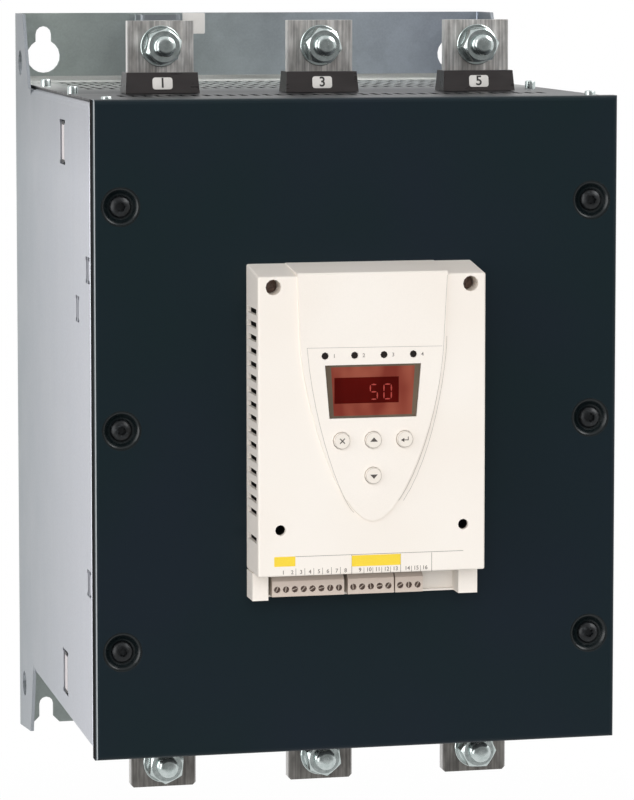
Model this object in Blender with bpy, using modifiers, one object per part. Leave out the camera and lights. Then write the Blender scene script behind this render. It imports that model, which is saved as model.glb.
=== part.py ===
"""Three-phase soft starter for wall mounting, modelled in metres with +Z up.

The origin is the centre of the back plate's rear face. The wall is on the +Y side and the
front cover looks towards -Y. Supply bars leave through the top panel, load bars through the
bottom panel, and the control module stands on the front cover.
"""

import math

import bmesh
import bpy
from mathutils import Matrix, Vector


# Sheet, clearances and bends
CHASSIS_SHEET = 0.002
PANEL_SHEET = 0.0015
BEND_RADIUS = 0.002
GAP = 0.0003
CUT_MARGIN = 0.004
BEND_STEPS = 3
ROUND_STEPS = 16
HOLE_STEPS = 12
SMALL_STEPS = 8
DUCT_STEPS = 24

# Chassis
PLATE_WIDTH = 0.304
PLATE_HEIGHT = 0.455
BOX_HEIGHT = 0.364
BOX_DEPTH = 0.294
RETURN_WIDTH = 0.025
FLANGE_WIDTH = 0.014
EAR_TOP_DEPTH = 0.034
EAR_ROOT_DEPTH = 0.057
EAR_FOOT_DEPTH = 0.050
EAR_FOOT_RISE = 0.005
EAR_FOOT_ROOT_DEPTH = 0.062
EAR_NOTCH = 0.005
EAR_HOLE_RADIUS = 0.008
EAR_HOLE_DEPTH = 0.024
EAR_HOLE_INSET = 0.0305
KEYHOLE_X = 0.134
KEYHOLE_RADIUS = 0.0105
KEYHOLE_INSET = 0.0272
KEYHOLE_RISE = 0.0139
KEYHOLE_NECK_WIDTH = 0.010
FOOT_SLOT_X = 0.135
FOOT_SLOT_WIDTH = 0.009
FOOT_SLOT_HEIGHT = 0.0166
FOOT_SLOT_MOUTH = 0.004

# Wall slots that take the tabs of the inner sheets
SLOT_RELIEF = 0.002
SUPPORT_SLOT_REACH = 0.003
EAR_CLEARANCE = 0.001
TAB_SLOT_WIDTH = 0.008
TAB_HEIGHT = 0.0144

# Top and bottom panels
PANEL_SIDE_INSET = 0.004
PANEL_LIP_HEIGHT = 0.0047
VENT_COLUMNS = 36
VENT_PITCH = 0.0071
VENT_WIDTH = 0.0034
VENT_LENGTH = 0.018
VENT_ROWS = 5
VENT_ROW_PITCH = 0.026
VENT_FIRST_DEPTH = 0.016
FRONT_VENT_SETBACK = 0.056
INTAKE_COLUMNS = 15
INTAKE_PITCH = 0.016
INTAKE_WIDTH = 0.008
INTAKE_LENGTH = 0.098
INTAKE_DEPTH = 0.064

# Front cover
COVER_DEPTH = 0.010
COVER_SIDE_INSET = 0.0005
COVER_TOP_OVERLAP = 0.0024
COVER_BOTTOM_OVERLAP = 0.0044
COVER_EDGE_RADIUS = 0.0025
COVER_SCREW_INSET = 0.016
COVER_SCREW_PITCH = 0.125
COVER_SCREW_ROWS = (1, 0, -1)
DIMPLE_RADIUS = 0.0105
DIMPLE_FLOOR_RADIUS = 0.0075
DIMPLE_DEPTH = 0.003
DIMPLE_BOSS_RIM = 0.0005
SCREW_HEAD_RADIUS = 0.00625
SCREW_HEAD_HEIGHT = 0.004
SCREW_DOME_SHARE = 0.7
SCREW_SHANK_RADIUS = 0.0025
SCREW_LENGTH = 0.012
CABLE_WINDOW_WIDTH = 0.042
CABLE_WINDOW_HEIGHT = 0.042

# Busbars, their bolts and insulating holders
BAR_EDGE_DISTANCE = 0.057
BAR_WIDTH = 0.039
BAR_THICKNESS = 0.006
BAR_END = 0.226
BAR_SETBACK = 0.094
BAR_CORNER = 0.0018
BAR_BEND_RADIUS = 0.009
BAR_JOGGLE_OUTER = 0.074
BAR_JOGGLE_INNER = 0.046
BAR_BOLT_INSET = 0.0147
BOLT_RADIUS = 0.006
BOLT_HOLE_RADIUS = 0.0065
BOLT_WASHER_RADIUS = 0.012
BOLT_WASHER_THICKNESS = 0.0025
BOLT_NUT_ACROSS_FLATS = 0.019
BOLT_NUT_HEIGHT = 0.010
BOLT_HEAD_HEIGHT = 0.0075
BOLT_THREAD_OUT = 0.0065
BOLT_TIP_CHAMFER = 0.001
HOLDER_WALL = 0.001
HOLDER_FRONT_WALL = 0.0022
HOLDER_INNER_LENGTH = 0.034
COLLAR_WIDTH = 0.0436
COLLAR_DEPTH = 0.020
COLLAR_HEIGHT = 0.012
COLLAR_TOP_WIDTH = 0.042
COLLAR_TOP_DEPTH = 0.016

# Inner supports
CROSSBAR_SHEET = 0.002
CROSSBAR_HEIGHT = 0.024
CROSSBAR_Z = 0.156
CROSSBAR_EAR = 0.0095
BRACKET_Z = 0.0636
BOARD_PLATE_SETBACK = 0.007
BOARD_PLATE_SIDE_GAP = 0.003
BOARD_PLATE_HEIGHT = 0.206
BOARD_TAB_Z = 0.0886
BOARD_PLATE_WINDOW_WIDTH = 0.044
BOARD_PLATE_WINDOW_HEIGHT = 0.044

# Power section
HEAT_SINK_BEHIND_BARS = 0.096
HEAT_SINK_BASE = 0.012
HEAT_SINK_REAR_DEPTH = 0.006
HEAT_SINK_TOP = 0.110
FIN_COUNT = 20
FIN_THICKNESS = 0.0026
FAN_SIZE = 0.120
FAN_THICKNESS = 0.038
FAN_CORNER = 0.006
FAN_X = 0.061
FAN_FRONT_DEPTH = 0.124
FAN_BORE_RADIUS = 0.057
FAN_STRUT_WIDTH = 0.006
FAN_STRUT_HEIGHT = 0.003
FAN_HUB_RADIUS = 0.021
FAN_HUB_HEIGHT = 0.026
FAN_BLADE_COUNT = 7
FAN_BLADE_RADIUS = 0.0525
FAN_BLADE_CHORD = 0.030
FAN_BLADE_THICKNESS = 0.0018
FAN_BLADE_ROOT_SHARE = 0.7
FAN_BLADE_PITCH = math.radians(35)
FAN_AXLE_RADIUS = 0.0025
FAN_AXLE_LENGTH = 0.018
THYRISTOR_WIDTH = 0.052
THYRISTOR_HEIGHT = 0.124
THYRISTOR_BODY_HEIGHT = 0.112
THYRISTOR_FOOT = 0.008
THYRISTOR_BODY_DEPTH = 0.038
THYRISTOR_PAD_DEPTH = 0.010
THYRISTOR_PAD_INNER = 0.014
THYRISTOR_PAD_OUTER = 0.044
CONTACTOR_WIDTH = 0.240
CONTACTOR_HEIGHT = 0.176
CONTACTOR_DEPTH = 0.0454
CONTACTOR_NOSE_HEIGHT = 0.152
CONTACTOR_STEP_DEPTH = 0.026
CONTACTOR_GROOVE = 0.006
SENSOR_WIDTH = 0.062
SENSOR_DEPTH = 0.040
SENSOR_HEIGHT = 0.020
SENSOR_Z = -0.102
SENSOR_CORNER = 0.006
DRIVER_BOARD_WIDTH = 0.220
DRIVER_BOARD_HEIGHT = 0.160
DRIVER_BOARD_STANDOFF = 0.008
STANDOFF_RADIUS = 0.004
STANDOFF_INSET = 0.012
BOARD_THICKNESS = 0.0016
TRANSFORMER_SIZE = 0.044
TRANSFORMER_DEPTH = 0.018
CAPACITOR_RADIUS = 0.009
CAPACITOR_PITCH = 0.026
CAPACITOR_COUNT = 3
CAPACITOR_DEPTH = 0.016

# Earth bracket on the back plate
EARTH_X = -0.062
EARTH_WIDTH = 0.024
EARTH_DEPTH = 0.020
EARTH_FOOT = 0.005
EARTH_TOP_INSET = 0.001
EARTH_HEIGHT = 0.0305
EARTH_STUD_RADIUS = 0.004
EARTH_NUT_RADIUS = 0.0075
EARTH_NUT_HEIGHT = 0.0065
EARTH_STUD_LENGTH = 0.014

# Control module
MODULE_WIDTH = 0.130
MODULE_DEPTH = 0.032
MODULE_TOP_REAR = 0.092
MODULE_TOP_FRONT = 0.0873
MODULE_BOTTOM = -0.080
MODULE_WALL = 0.0022
MODULE_EDGE_RADIUS = 0.001
MODULE_CHIN_DEPTH = 0.0135
SHIELD_THICKNESS = 0.0015
SHIELD_RISE = 0.0017
SHIELD_REAR_RISE = 0.0003
SHIELD_HALF_WIDTH = 0.0431
SHIELD_SHOULDER_HALF_WIDTH = 0.0413
SHIELD_SHOULDER_Z = 0.046
SHIELD_TIP_Z = -0.0504
SHIELD_SIDE_PULL = (0.036, 0.0)
SHIELD_TIP_PULL = 0.016
SHIELD_STEPS = 9
MODULE_VENT_COUNT = 16
MODULE_VENT_PITCH = 0.0075
MODULE_VENT_HEIGHT = 0.0034
MODULE_VENT_FIRST_Z = 0.0673
MODULE_VENT_FRONT_DEPTH = 0.0273
MODULE_VENT_REAR_DEPTH = 0.0033
TOP_BOSS_X = 0.0563
TOP_BOSS_Z = 0.0815
TOP_BOSS_HOLE_RADIUS = 0.0044
LOW_BOSS_X = 0.0524
LOW_BOSS_Z = -0.0540
LOW_BOSS_HOLE_RADIUS = 0.003
BOSS_WALL = 0.0014
BOSS_HOLE_DEPTH = 0.012

# Control base
BASE_BOTTOM = -0.096
BASE_FRONT_DEPTH = 0.016
BASE_BACK_WALL = 0.0025
BASE_FLOOR = 0.0012
BASE_LEFT_CHEEK = 0.009
BASE_RIGHT_CHEEK = 0.011
BASE_PLATE_TOP = 0.086
BASE_WINDOW_WIDTH = 0.038
BASE_WINDOW_HEIGHT = 0.038

# Keys, display and indicators
KEY_RADIUS = 0.0047
KEY_PITCH_X = 0.018
KEY_PITCH_Z = 0.0200
KEY_ROW_Z = -0.0046
KEY_PROUD = 0.0022
KEY_TRAVEL = 0.0008
KEY_FLANGE_RADIUS = 0.0058
KEY_FLANGE_THICKNESS = 0.001
KEY_STEM_RADIUS = 0.002
KEY_EDGE = 0.0006
DISPLAY_TOP_Z = 0.0376
DISPLAY_BOTTOM_Z = 0.0078
DISPLAY_TOP_HALF_WIDTH = 0.0275
DISPLAY_BOTTOM_HALF_WIDTH = 0.0249
WINDOW_RECESS = 0.0006
WINDOW_FLANGE = 0.002
WINDOW_FLANGE_THICKNESS = 0.0012
INDICATOR_RADIUS = 0.0018
INDICATOR_PITCH = 0.0168
INDICATOR_FIRST_X = -0.0274
INDICATOR_COUNT = 4
INDICATOR_Z = 0.0429
INDICATOR_BAR_HEIGHT = 0.005
INDICATOR_BAR_THICKNESS = 0.0014
DISPLAY_BOARD_DEPTH = 0.0235
DISPLAY_BOARD_WIDTH = 0.074
DISPLAY_BOARD_TOP = 0.050
DISPLAY_BOARD_BOTTOM = -0.034
DIGITS_LEFT = -0.0220
DIGITS_RIGHT = 0.0148
DIGITS_TOP = 0.0305
DIGITS_BOTTOM = 0.0155
DIGITS_THICKNESS = 0.0035
PEG_RADIUS = 0.0025
PEG_INSET = 0.004
LOW_PEG_INSET = 0.0106

# Terminals and port on the control board
CONTROL_BOARD_WIDTH = 0.112
CONTROL_BOARD_TOP = 0.070
CONTROL_BOARD_SHOULDER = -0.0785
CONTROL_BOARD_BOTTOM = -0.0940
TERMINAL_PITCH = 0.00508
TERMINAL_DEPTH = 0.0108
TERMINAL_TOP = -0.0825
TERMINAL_BOTTOM = -0.0942
TERMINAL_CHAMFER = 0.003
TERMINAL_HOLE_RADIUS = 0.0019
TERMINAL_HOLE_DEPTH = 0.002
TERMINAL_HOLE_Z = -0.0902
WIRE_ENTRY_WIDTH = 0.0034
WIRE_ENTRY_DEPTH = 0.0055
WIRE_ENTRY_HEIGHT = 0.007
WIRE_ENTRY_FRONT_WALL = 0.0028
TERMINAL_BLOCKS = (
    ("terminal_block_relays", 8, -0.0538, 0.0004),
    ("terminal_block_logic", 5, -0.0102, 0.0006),
    ("terminal_block_sensor", 3, 0.0172, 0.0004),
)
PORT_LEFT = 0.036
PORT_WIDTH = 0.016
PORT_HEIGHT = 0.014
PORT_DEPTH = 0.0097
PORT_WALL = 0.001

# Places that follow from the sizes above
HALF_WIDTH = PLATE_WIDTH / 2
HALF_PLATE = PLATE_HEIGHT / 2
HALF_BOX = BOX_HEIGHT / 2
INNER_WALL = HALF_WIDTH - CHASSIS_SHEET
PANEL_HALF_WIDTH = HALF_WIDTH - PANEL_SIDE_INSET
EARTH_HIGH = HALF_PLATE - EARTH_TOP_INSET
EARTH_LOW = EARTH_HIGH - EARTH_HEIGHT
COVER_BACK = -BOX_DEPTH - GAP
COVER_FACE = -BOX_DEPTH - COVER_DEPTH
COVER_SCREW_X = HALF_WIDTH - COVER_SCREW_INSET
PANEL_INNER = HALF_BOX + GAP
PANEL_OUTER = PANEL_INNER + PANEL_SHEET
BAR_PITCH = HALF_WIDTH - BAR_EDGE_DISTANCE
BAR_DEPTH = BOX_DEPTH - BAR_SETBACK
BAR_FRONT = -BAR_DEPTH - BAR_THICKNESS / 2
BAR_REAR = -BAR_DEPTH + BAR_THICKNESS / 2
BAR_CENTRES = (-BAR_PITCH, 0.0, BAR_PITCH)
BOLT_Z = BAR_END - BAR_BOLT_INSET
HEAT_SINK_FACE_DEPTH = BAR_DEPTH - HEAT_SINK_BEHIND_BARS
THYRISTOR_REAR = -HEAT_SINK_FACE_DEPTH - GAP
THYRISTOR_FRONT = THYRISTOR_REAR - THYRISTOR_BODY_DEPTH - THYRISTOR_PAD_DEPTH
BAR_PAD_DEPTH = -THYRISTOR_FRONT + GAP + BAR_THICKNESS / 2
HOLDER_REAR = BAR_REAR + GAP + HOLDER_FRONT_WALL
HOLDER_FRONT = BAR_FRONT - GAP - HOLDER_FRONT_WALL
HOLDER_WIDTH = BAR_WIDTH + 2 * (GAP + HOLDER_WALL)
CROSSBAR_FRONT = HOLDER_REAR + GAP
CROSSBAR_MIDDLE = CROSSBAR_FRONT + CROSSBAR_SHEET / 2
CONTACTOR_REAR = BAR_FRONT - GAP
CONTACTOR_FRONT = CONTACTOR_REAR - CONTACTOR_DEPTH
BRACKET_REAR = CONTACTOR_FRONT - GAP
BRACKET_FRONT = BRACKET_REAR - CROSSBAR_SHEET
BOARD_PLATE_FRONT = -BOX_DEPTH + BOARD_PLATE_SETBACK
BOARD_PLATE_REAR = BOARD_PLATE_FRONT + PANEL_SHEET
FAN_BOTTOM = -PANEL_INNER + GAP
FAN_TOP = FAN_BOTTOM + FAN_THICKNESS
FAN_Y = -FAN_FRONT_DEPTH + FAN_SIZE / 2
MODULE_REAR = COVER_FACE - GAP
MODULE_FRONT = COVER_FACE - MODULE_DEPTH
SHIELD_FRONT = MODULE_FRONT - SHIELD_THICKNESS
CAVITY_FRONT = MODULE_FRONT + MODULE_WALL
BASE_FRONT = COVER_FACE - BASE_FRONT_DEPTH
BASE_INNER_REAR = MODULE_REAR - BASE_BACK_WALL
CONTROL_BOARD_REAR = BASE_INNER_REAR - GAP
CONTROL_BOARD_FRONT = CONTROL_BOARD_REAR - BOARD_THICKNESS
DISPLAY_BOARD_FRONT = COVER_FACE - DISPLAY_BOARD_DEPTH
KEY_FLANGE_FRONT = CAVITY_FRONT + GAP
KEY_PLACES = (
    ("key_escape", -KEY_PITCH_X, KEY_ROW_Z),
    ("key_up", 0.0, KEY_ROW_Z),
    ("key_enter", KEY_PITCH_X, KEY_ROW_Z),
    ("key_down", 0.0, KEY_ROW_Z - KEY_PITCH_Z),
)

# Local axes of a flat outline for each plane it can be drawn in
PLANES = {
    "XY": Matrix(((1, 0, 0), (0, 1, 0), (0, 0, 1))),
    "XZ": Matrix(((1, 0, 0), (0, 0, -1), (0, 1, 0))),
    "YZ": Matrix(((0, 0, 1), (1, 0, 0), (0, 1, 0))),
}


def clear_scene():
    """Remove the objects that a new file starts with."""
    for item in list(bpy.data.objects):
        bpy.data.objects.remove(item, do_unlink=True)


def make_collection(name):
    group = bpy.data.collections.new(name)
    bpy.context.scene.collection.children.link(group)
    return group


def make_material(name, colour, roughness, metallic):
    """Principled material from linear colour values."""
    material = bpy.data.materials.new(name)
    material.use_nodes = True
    shader = material.node_tree.nodes["Principled BSDF"]
    shader.inputs["Base Color"].default_value = (*colour, 1.0)
    shader.inputs["Roughness"].default_value = roughness
    shader.inputs["Metallic"].default_value = metallic
    material.diffuse_color = (*colour, 1.0)
    return material


def add_object(name, mesh, finish):
    """Object in the part's collection, or a hidden tool when it has no finish."""
    item = bpy.data.objects.new(name, mesh)
    if finish is None:
        bpy.data.collections["cutters"].objects.link(item)
        item.hide_render = True
        item.display_type = "WIRE"
    else:
        bpy.data.collections["soft_starter"].objects.link(item)
        mesh.materials.append(bpy.data.materials[finish])
    return item


def block(name, low, high, finish=None):
    """Rectangular solid between two corners."""
    mesh = bpy.data.meshes.new(name)
    shape = bmesh.new()
    bmesh.ops.create_cube(shape, size=1.0)
    size = Vector(high) - Vector(low)
    bmesh.ops.scale(shape, vec=size, verts=shape.verts)
    shape.to_mesh(mesh)
    shape.free()
    item = add_object(name, mesh, finish)
    item.location = (Vector(high) + Vector(low)) / 2
    return item


def taper(item, axis, side, ratios):
    """Scale one end face of a block about its own centre line."""
    for vertex in item.data.vertices:
        if vertex.co[axis] * side > 0:
            for other, ratio in ratios:
                vertex.co[other] *= ratio
    return item


def prism(name, loops, plane, start, end, finish=None):
    """Solid with a flat outline, holes included, between two levels along the plane's normal."""
    data = bpy.data.curves.new(name, "CURVE")
    data.dimensions = "2D"
    data.fill_mode = "BOTH"
    data.extrude = abs(end - start) / 2
    for loop in loops:
        spline = data.splines.new("POLY")
        spline.points.add(len(loop) - 1)
        for point, place in zip(spline.points, loop):
            point.co = (place[0], place[1], 0.0, 1.0)
        spline.use_cyclic_u = True
    curve = bpy.data.objects.new(name + "_outline", data)
    bpy.context.scene.collection.objects.link(curve)
    normal = PLANES[plane].col[2]
    centre = Vector([abs(part) for part in normal]) * (start + end) / 2
    curve.matrix_world = Matrix.Translation(centre) @ PLANES[plane].to_4x4()
    bpy.context.view_layer.update()
    evaluated = curve.evaluated_get(bpy.context.evaluated_depsgraph_get())
    mesh = bpy.data.meshes.new_from_object(evaluated)
    mesh.name = name
    shape = bmesh.new()
    shape.from_mesh(mesh)
    bmesh.ops.remove_doubles(shape, verts=shape.verts, dist=0.000005)
    bmesh.ops.recalc_face_normals(shape, faces=shape.faces)
    shape.to_mesh(mesh)
    shape.free()
    item = add_object(name, mesh, finish)
    item.matrix_world = curve.matrix_world
    bpy.data.objects.remove(curve, do_unlink=True)
    bpy.data.curves.remove(data)
    return item


def turned(name, profile, centre, facing, finish=None, steps=ROUND_STEPS):
    """Turned solid; the profile runs from its outer end (radius, height) down to its seat."""
    mesh = bpy.data.meshes.new(name)
    points = [(radius, 0.0, height) for radius, height in profile]
    edges = [(index, index + 1) for index in range(len(points) - 1)]
    mesh.from_pydata(points, edges, [])
    item = add_object(name, mesh, finish)
    item.location = centre
    if facing == "front":
        item.rotation_euler = (math.pi / 2, 0.0, 0.0)
    screw = item.modifiers.new("turn", "SCREW")
    screw.steps = steps
    screw.render_steps = steps
    screw.use_merge_vertices = True
    screw.merge_threshold = 0.00001
    screw.use_smooth_shade = True
    return item


def cut(target, tool):
    change = target.modifiers.new(tool.name, "BOOLEAN")
    change.operation = "DIFFERENCE"
    change.object = tool


def fuse(target, tool):
    change = target.modifiers.new(tool.name, "BOOLEAN")
    change.operation = "UNION"
    change.object = tool


def keep_within(target, tool):
    change = target.modifiers.new(tool.name, "BOOLEAN")
    change.operation = "INTERSECT"
    change.object = tool


def bake(item):
    """Make the object's modifiers part of its mesh, so that copies can share it."""
    bpy.context.view_layer.update()
    evaluated = item.evaluated_get(bpy.context.evaluated_depsgraph_get())
    mesh = bpy.data.meshes.new_from_object(evaluated)
    mesh.name = item.name
    item.modifiers.clear()
    item.data = mesh
    return item


def copy_to(item, name, location):
    """A further object with the same mesh at another place."""
    twin = bpy.data.objects.new(name, item.data)
    twin.rotation_euler = item.rotation_euler
    twin.location = location
    bpy.data.collections["soft_starter"].objects.link(twin)
    return twin


def rectangle(left, low, right, high):
    return [(left, low), (right, low), (right, high), (left, high)]


def arc(centre, radius, first, last, steps):
    """Points on an arc between two angles in degrees, both ends included."""
    points = []
    for step in range(steps + 1):
        angle = math.radians(first + (last - first) * step / steps)
        points.append((centre[0] + radius * math.cos(angle), centre[1] + radius * math.sin(angle)))
    return points


def circle(centre, radius, steps=HOLE_STEPS):
    return arc(centre, radius, 0.0, 360.0 * (steps - 1) / steps, steps - 1)


def hexagon(centre, across_flats):
    return circle(centre, across_flats / math.sqrt(3), 6)


def rounded_rectangle(left, low, right, high, radius, steps=BEND_STEPS):
    points = arc((right - radius, high - radius), radius, 0, 90, steps)
    points += arc((left + radius, high - radius), radius, 90, 180, steps)
    points += arc((left + radius, low + radius), radius, 180, 270, steps)
    points += arc((right - radius, low + radius), radius, 270, 360, steps)
    return points


def folded_outline(path, thickness, radius):
    """Closed section of a sheet folded along a centre path, with round bends."""
    corners = [Vector(point) for point in path]
    stations = []
    for index, corner in enumerate(corners):
        before = (corner - corners[index - 1]).normalized() if index > 0 else None
        after = None
        if index < len(corners) - 1:
            after = (corners[index + 1] - corner).normalized()
        if before is None or after is None:
            along = after or before
            stations.append((corner, Vector((-along.y, along.x))))
            continue
        turn = math.atan2(before.x * after.y - before.y * after.x, before.dot(after))
        side = math.copysign(1.0, turn)
        normal = Vector((-before.y, before.x))
        start = corner - before * (radius * math.tan(abs(turn) / 2))
        centre = start + normal * radius * side
        for step in range(BEND_STEPS + 1):
            current = Matrix.Rotation(turn * step / BEND_STEPS, 2) @ normal
            stations.append((centre - current * radius * side, current))
    half = thickness / 2
    outline = [tuple(point + normal * half) for point, normal in stations]
    outline += [tuple(point - normal * half) for point, normal in reversed(stations)]
    return outline


def wall_slot(front, rear, low, high):
    """I-shaped wall slot: a straight opening with a wider relief at each end."""
    return [
        (front - SLOT_RELIEF, low), (rear + SLOT_RELIEF, low),
        (rear + SLOT_RELIEF, low + SLOT_RELIEF), (rear, low + SLOT_RELIEF),
        (rear, high - SLOT_RELIEF), (rear + SLOT_RELIEF, high - SLOT_RELIEF),
        (rear + SLOT_RELIEF, high), (front - SLOT_RELIEF, high),
        (front - SLOT_RELIEF, high - SLOT_RELIEF), (front, high - SLOT_RELIEF),
        (front, low + SLOT_RELIEF), (front - SLOT_RELIEF, low + SLOT_RELIEF),
    ]


def tab_slot(middle, z):
    """Wall slot round a sheet tab that stands across the wall."""
    half = TAB_HEIGHT / 2 + GAP
    return wall_slot(middle - TAB_SLOT_WIDTH / 2, middle + TAB_SLOT_WIDTH / 2, z - half, z + half)


def keyhole(x):
    """Keyhole of the back plate: a round entry with a narrower neck above."""
    low = HALF_PLATE - KEYHOLE_INSET
    neck = KEYHOLE_NECK_WIDTH / 2
    meet = math.degrees(math.acos(neck / KEYHOLE_RADIUS))
    points = arc((x, low), KEYHOLE_RADIUS, 180 - meet, 360 + meet, ROUND_STEPS)
    points += arc((x, low + KEYHOLE_RISE), neck, 0, 180, HOLE_STEPS // 2)
    return points


def foot_slot(x):
    """Slot that is open at the plate's lower edge, with a widened mouth."""
    half = FOOT_SLOT_WIDTH / 2
    edge = -HALF_PLATE
    crown = edge + FOOT_SLOT_HEIGHT - half
    mouth = half + FOOT_SLOT_MOUTH
    points = [(x - mouth, edge - CUT_MARGIN), (x + mouth, edge - CUT_MARGIN)]
    points += [(x + mouth, edge), (x + half, edge + FOOT_SLOT_MOUTH)]
    points += arc((x, crown), half, 0, 180, HOLE_STEPS // 2)
    points += [(x - half, edge + FOOT_SLOT_MOUTH), (x - mouth, edge)]
    return points


def build_chassis():
    """One folded sheet: back plate, side walls with ears, inward flanges and front returns."""
    side = HALF_WIDTH - CHASSIS_SHEET / 2
    back = -CHASSIS_SHEET / 2
    front = -BOX_DEPTH + CHASSIS_SHEET / 2
    inner = HALF_WIDTH - RETURN_WIDTH
    path = [(-inner, front), (-side, front), (-side, back), (side, back), (side, front), (inner, front)]
    outline = folded_outline(path, CHASSIS_SHEET, BEND_RADIUS)
    chassis = prism("chassis", [outline], "XY", -HALF_PLATE, HALF_PLATE, "galvanised_sheet")
    reach = HALF_WIDTH + CUT_MARGIN
    beyond = -BOX_DEPTH - CUT_MARGIN
    root = -EAR_FOOT_ROOT_DEPTH
    above = [
        (-EAR_TOP_DEPTH, HALF_PLATE + CUT_MARGIN), (-EAR_TOP_DEPTH, HALF_PLATE),
        (-EAR_ROOT_DEPTH, HALF_BOX), (beyond, HALF_BOX), (beyond, HALF_PLATE + CUT_MARGIN),
    ]
    below = [
        (-BEND_RADIUS, -HALF_PLATE - CUT_MARGIN), (-BEND_RADIUS - CHASSIS_SHEET, -HALF_PLATE),
        (-EAR_FOOT_DEPTH, -HALF_PLATE + EAR_FOOT_RISE), (root, -HALF_BOX),
        (root - EAR_NOTCH / 2, -HALF_BOX + EAR_NOTCH), (root - EAR_NOTCH, -HALF_BOX),
        (beyond, -HALF_BOX), (beyond, -HALF_PLATE - CUT_MARGIN),
    ]
    cut(chassis, prism("wall_trim", [above, below], "YZ", -reach, reach))
    flange_rear = -EAR_FOOT_ROOT_DEPTH - EAR_NOTCH - BEND_RADIUS
    flange_front = -BOX_DEPTH + CHASSIS_SHEET + GAP
    outer = HALF_WIDTH - CHASSIS_SHEET / 2
    for x_side, x_name in ((-1, "left"), (1, "right")):
        for z_side, z_name in ((-1, "lower"), (1, "upper")):
            edges = sorted((x_side * (HALF_WIDTH - FLANGE_WIDTH), x_side * outer))
            levels = sorted((z_side * (HALF_BOX - CHASSIS_SHEET), z_side * HALF_BOX))
            low = (edges[0], flange_front, levels[0])
            high = (edges[1], flange_rear, levels[1])
            fuse(chassis, block("flange_%s_%s" % (z_name, x_name), low, high))
    radius = BEND_RADIUS + CHASSIS_SHEET
    corners = []
    for x_side in (-1, 1):
        for z_side in (-1, 1):
            bend = arc((HALF_WIDTH - radius, HALF_BOX - radius), radius, 0, 90, BEND_STEPS)
            bend += [(HALF_WIDTH - radius, HALF_BOX + radius), (HALF_WIDTH + radius, HALF_BOX + radius)]
            bend += [(HALF_WIDTH + radius, HALF_BOX - radius)]
            corners.append([(x_side * x, z_side * z) for x, z in bend])
    cut(chassis, prism("long_edge_rounding", corners, "XZ", flange_rear, beyond))
    support_rear = CROSSBAR_MIDDLE + CROSSBAR_SHEET / 2 + SUPPORT_SLOT_REACH
    support_front = CROSSBAR_MIDDLE - CROSSBAR_SHEET / 2 - CROSSBAR_EAR - EAR_CLEARANCE
    half = CROSSBAR_HEIGHT / 2 + EAR_CLEARANCE
    slots = [
        wall_slot(support_front, support_rear, CROSSBAR_Z - half, CROSSBAR_Z + half),
        wall_slot(support_front, support_rear, -CROSSBAR_Z - half, -CROSSBAR_Z + half),
        tab_slot((BRACKET_REAR + BRACKET_FRONT) / 2, BRACKET_Z),
        tab_slot((BOARD_PLATE_FRONT + BOARD_PLATE_REAR) / 2, BOARD_TAB_Z),
        tab_slot((BOARD_PLATE_FRONT + BOARD_PLATE_REAR) / 2, -BOARD_TAB_Z),
    ]
    hole_z = HALF_PLATE - EAR_HOLE_INSET
    slots.append(circle((-EAR_HOLE_DEPTH, hole_z), EAR_HOLE_RADIUS))
    slots.append(circle((-EAR_HOLE_DEPTH, -hole_z), EAR_HOLE_RADIUS))
    cut(chassis, prism("wall_openings", slots, "YZ", -reach, reach))
    holes = [keyhole(-KEYHOLE_X), keyhole(KEYHOLE_X), foot_slot(-FOOT_SLOT_X), foot_slot(FOOT_SLOT_X)]
    cut(chassis, prism("plate_openings", holes, "XZ", CUT_MARGIN, -CHASSIS_SHEET - CUT_MARGIN))
    taps = []
    for x_side in (-1, 1):
        for row in COVER_SCREW_ROWS:
            centre = (x_side * COVER_SCREW_X, row * COVER_SCREW_PITCH)
            taps.append(circle(centre, SCREW_SHANK_RADIUS + GAP, SMALL_STEPS))
    cut(chassis, prism("return_holes", taps, "XZ", beyond, -BOX_DEPTH + CHASSIS_SHEET + CUT_MARGIN))


def holder_openings():
    """Loops of the three openings that the insulating holders pass through."""
    half = HOLDER_WIDTH / 2 + GAP
    return [rectangle(x - half, HOLDER_FRONT - GAP, x + half, HOLDER_REAR + GAP) for x in BAR_CENTRES]


def slot_rows(columns, pitch, width, length, depths):
    """Loops of straight slots in rows, each slot lengthwise in depth."""
    loops = []
    for depth in depths:
        for column in range(columns):
            x = (column - (columns - 1) / 2) * pitch
            loops.append(rectangle(x - width / 2, -depth - length / 2, x + width / 2, -depth + length / 2))
    return loops


def build_panel(name, side, slots):
    """Slotted end panel that lies on the chassis flanges, with a lip along the back plate."""
    level = side * (PANEL_INNER + PANEL_SHEET / 2)
    back = -CHASSIS_SHEET - GAP - PANEL_SHEET / 2
    lip = level + side * PANEL_LIP_HEIGHT
    path = [(-BOX_DEPTH + GAP, level), (back, level), (back, lip)]
    outline = folded_outline(path, PANEL_SHEET, BEND_RADIUS)
    panel = prism(name, [outline], "YZ", -PANEL_HALF_WIDTH, PANEL_HALF_WIDTH, "galvanised_panel")
    levels = sorted((side * (PANEL_INNER - CUT_MARGIN), side * (PANEL_OUTER + CUT_MARGIN)))
    cut(panel, prism(name + "_openings", slots + holder_openings(), "XY", *levels))


def build_panels():
    depths = [VENT_FIRST_DEPTH + row * VENT_ROW_PITCH for row in range(VENT_ROWS)]
    depths.append(BOX_DEPTH - FRONT_VENT_SETBACK)
    vents = slot_rows(VENT_COLUMNS, VENT_PITCH, VENT_WIDTH, VENT_LENGTH, depths)
    build_panel("top_panel", 1, vents)
    intakes = slot_rows(INTAKE_COLUMNS, INTAKE_PITCH, INTAKE_WIDTH, INTAKE_LENGTH, [INTAKE_DEPTH])
    build_panel("bottom_panel", -1, intakes)


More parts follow.
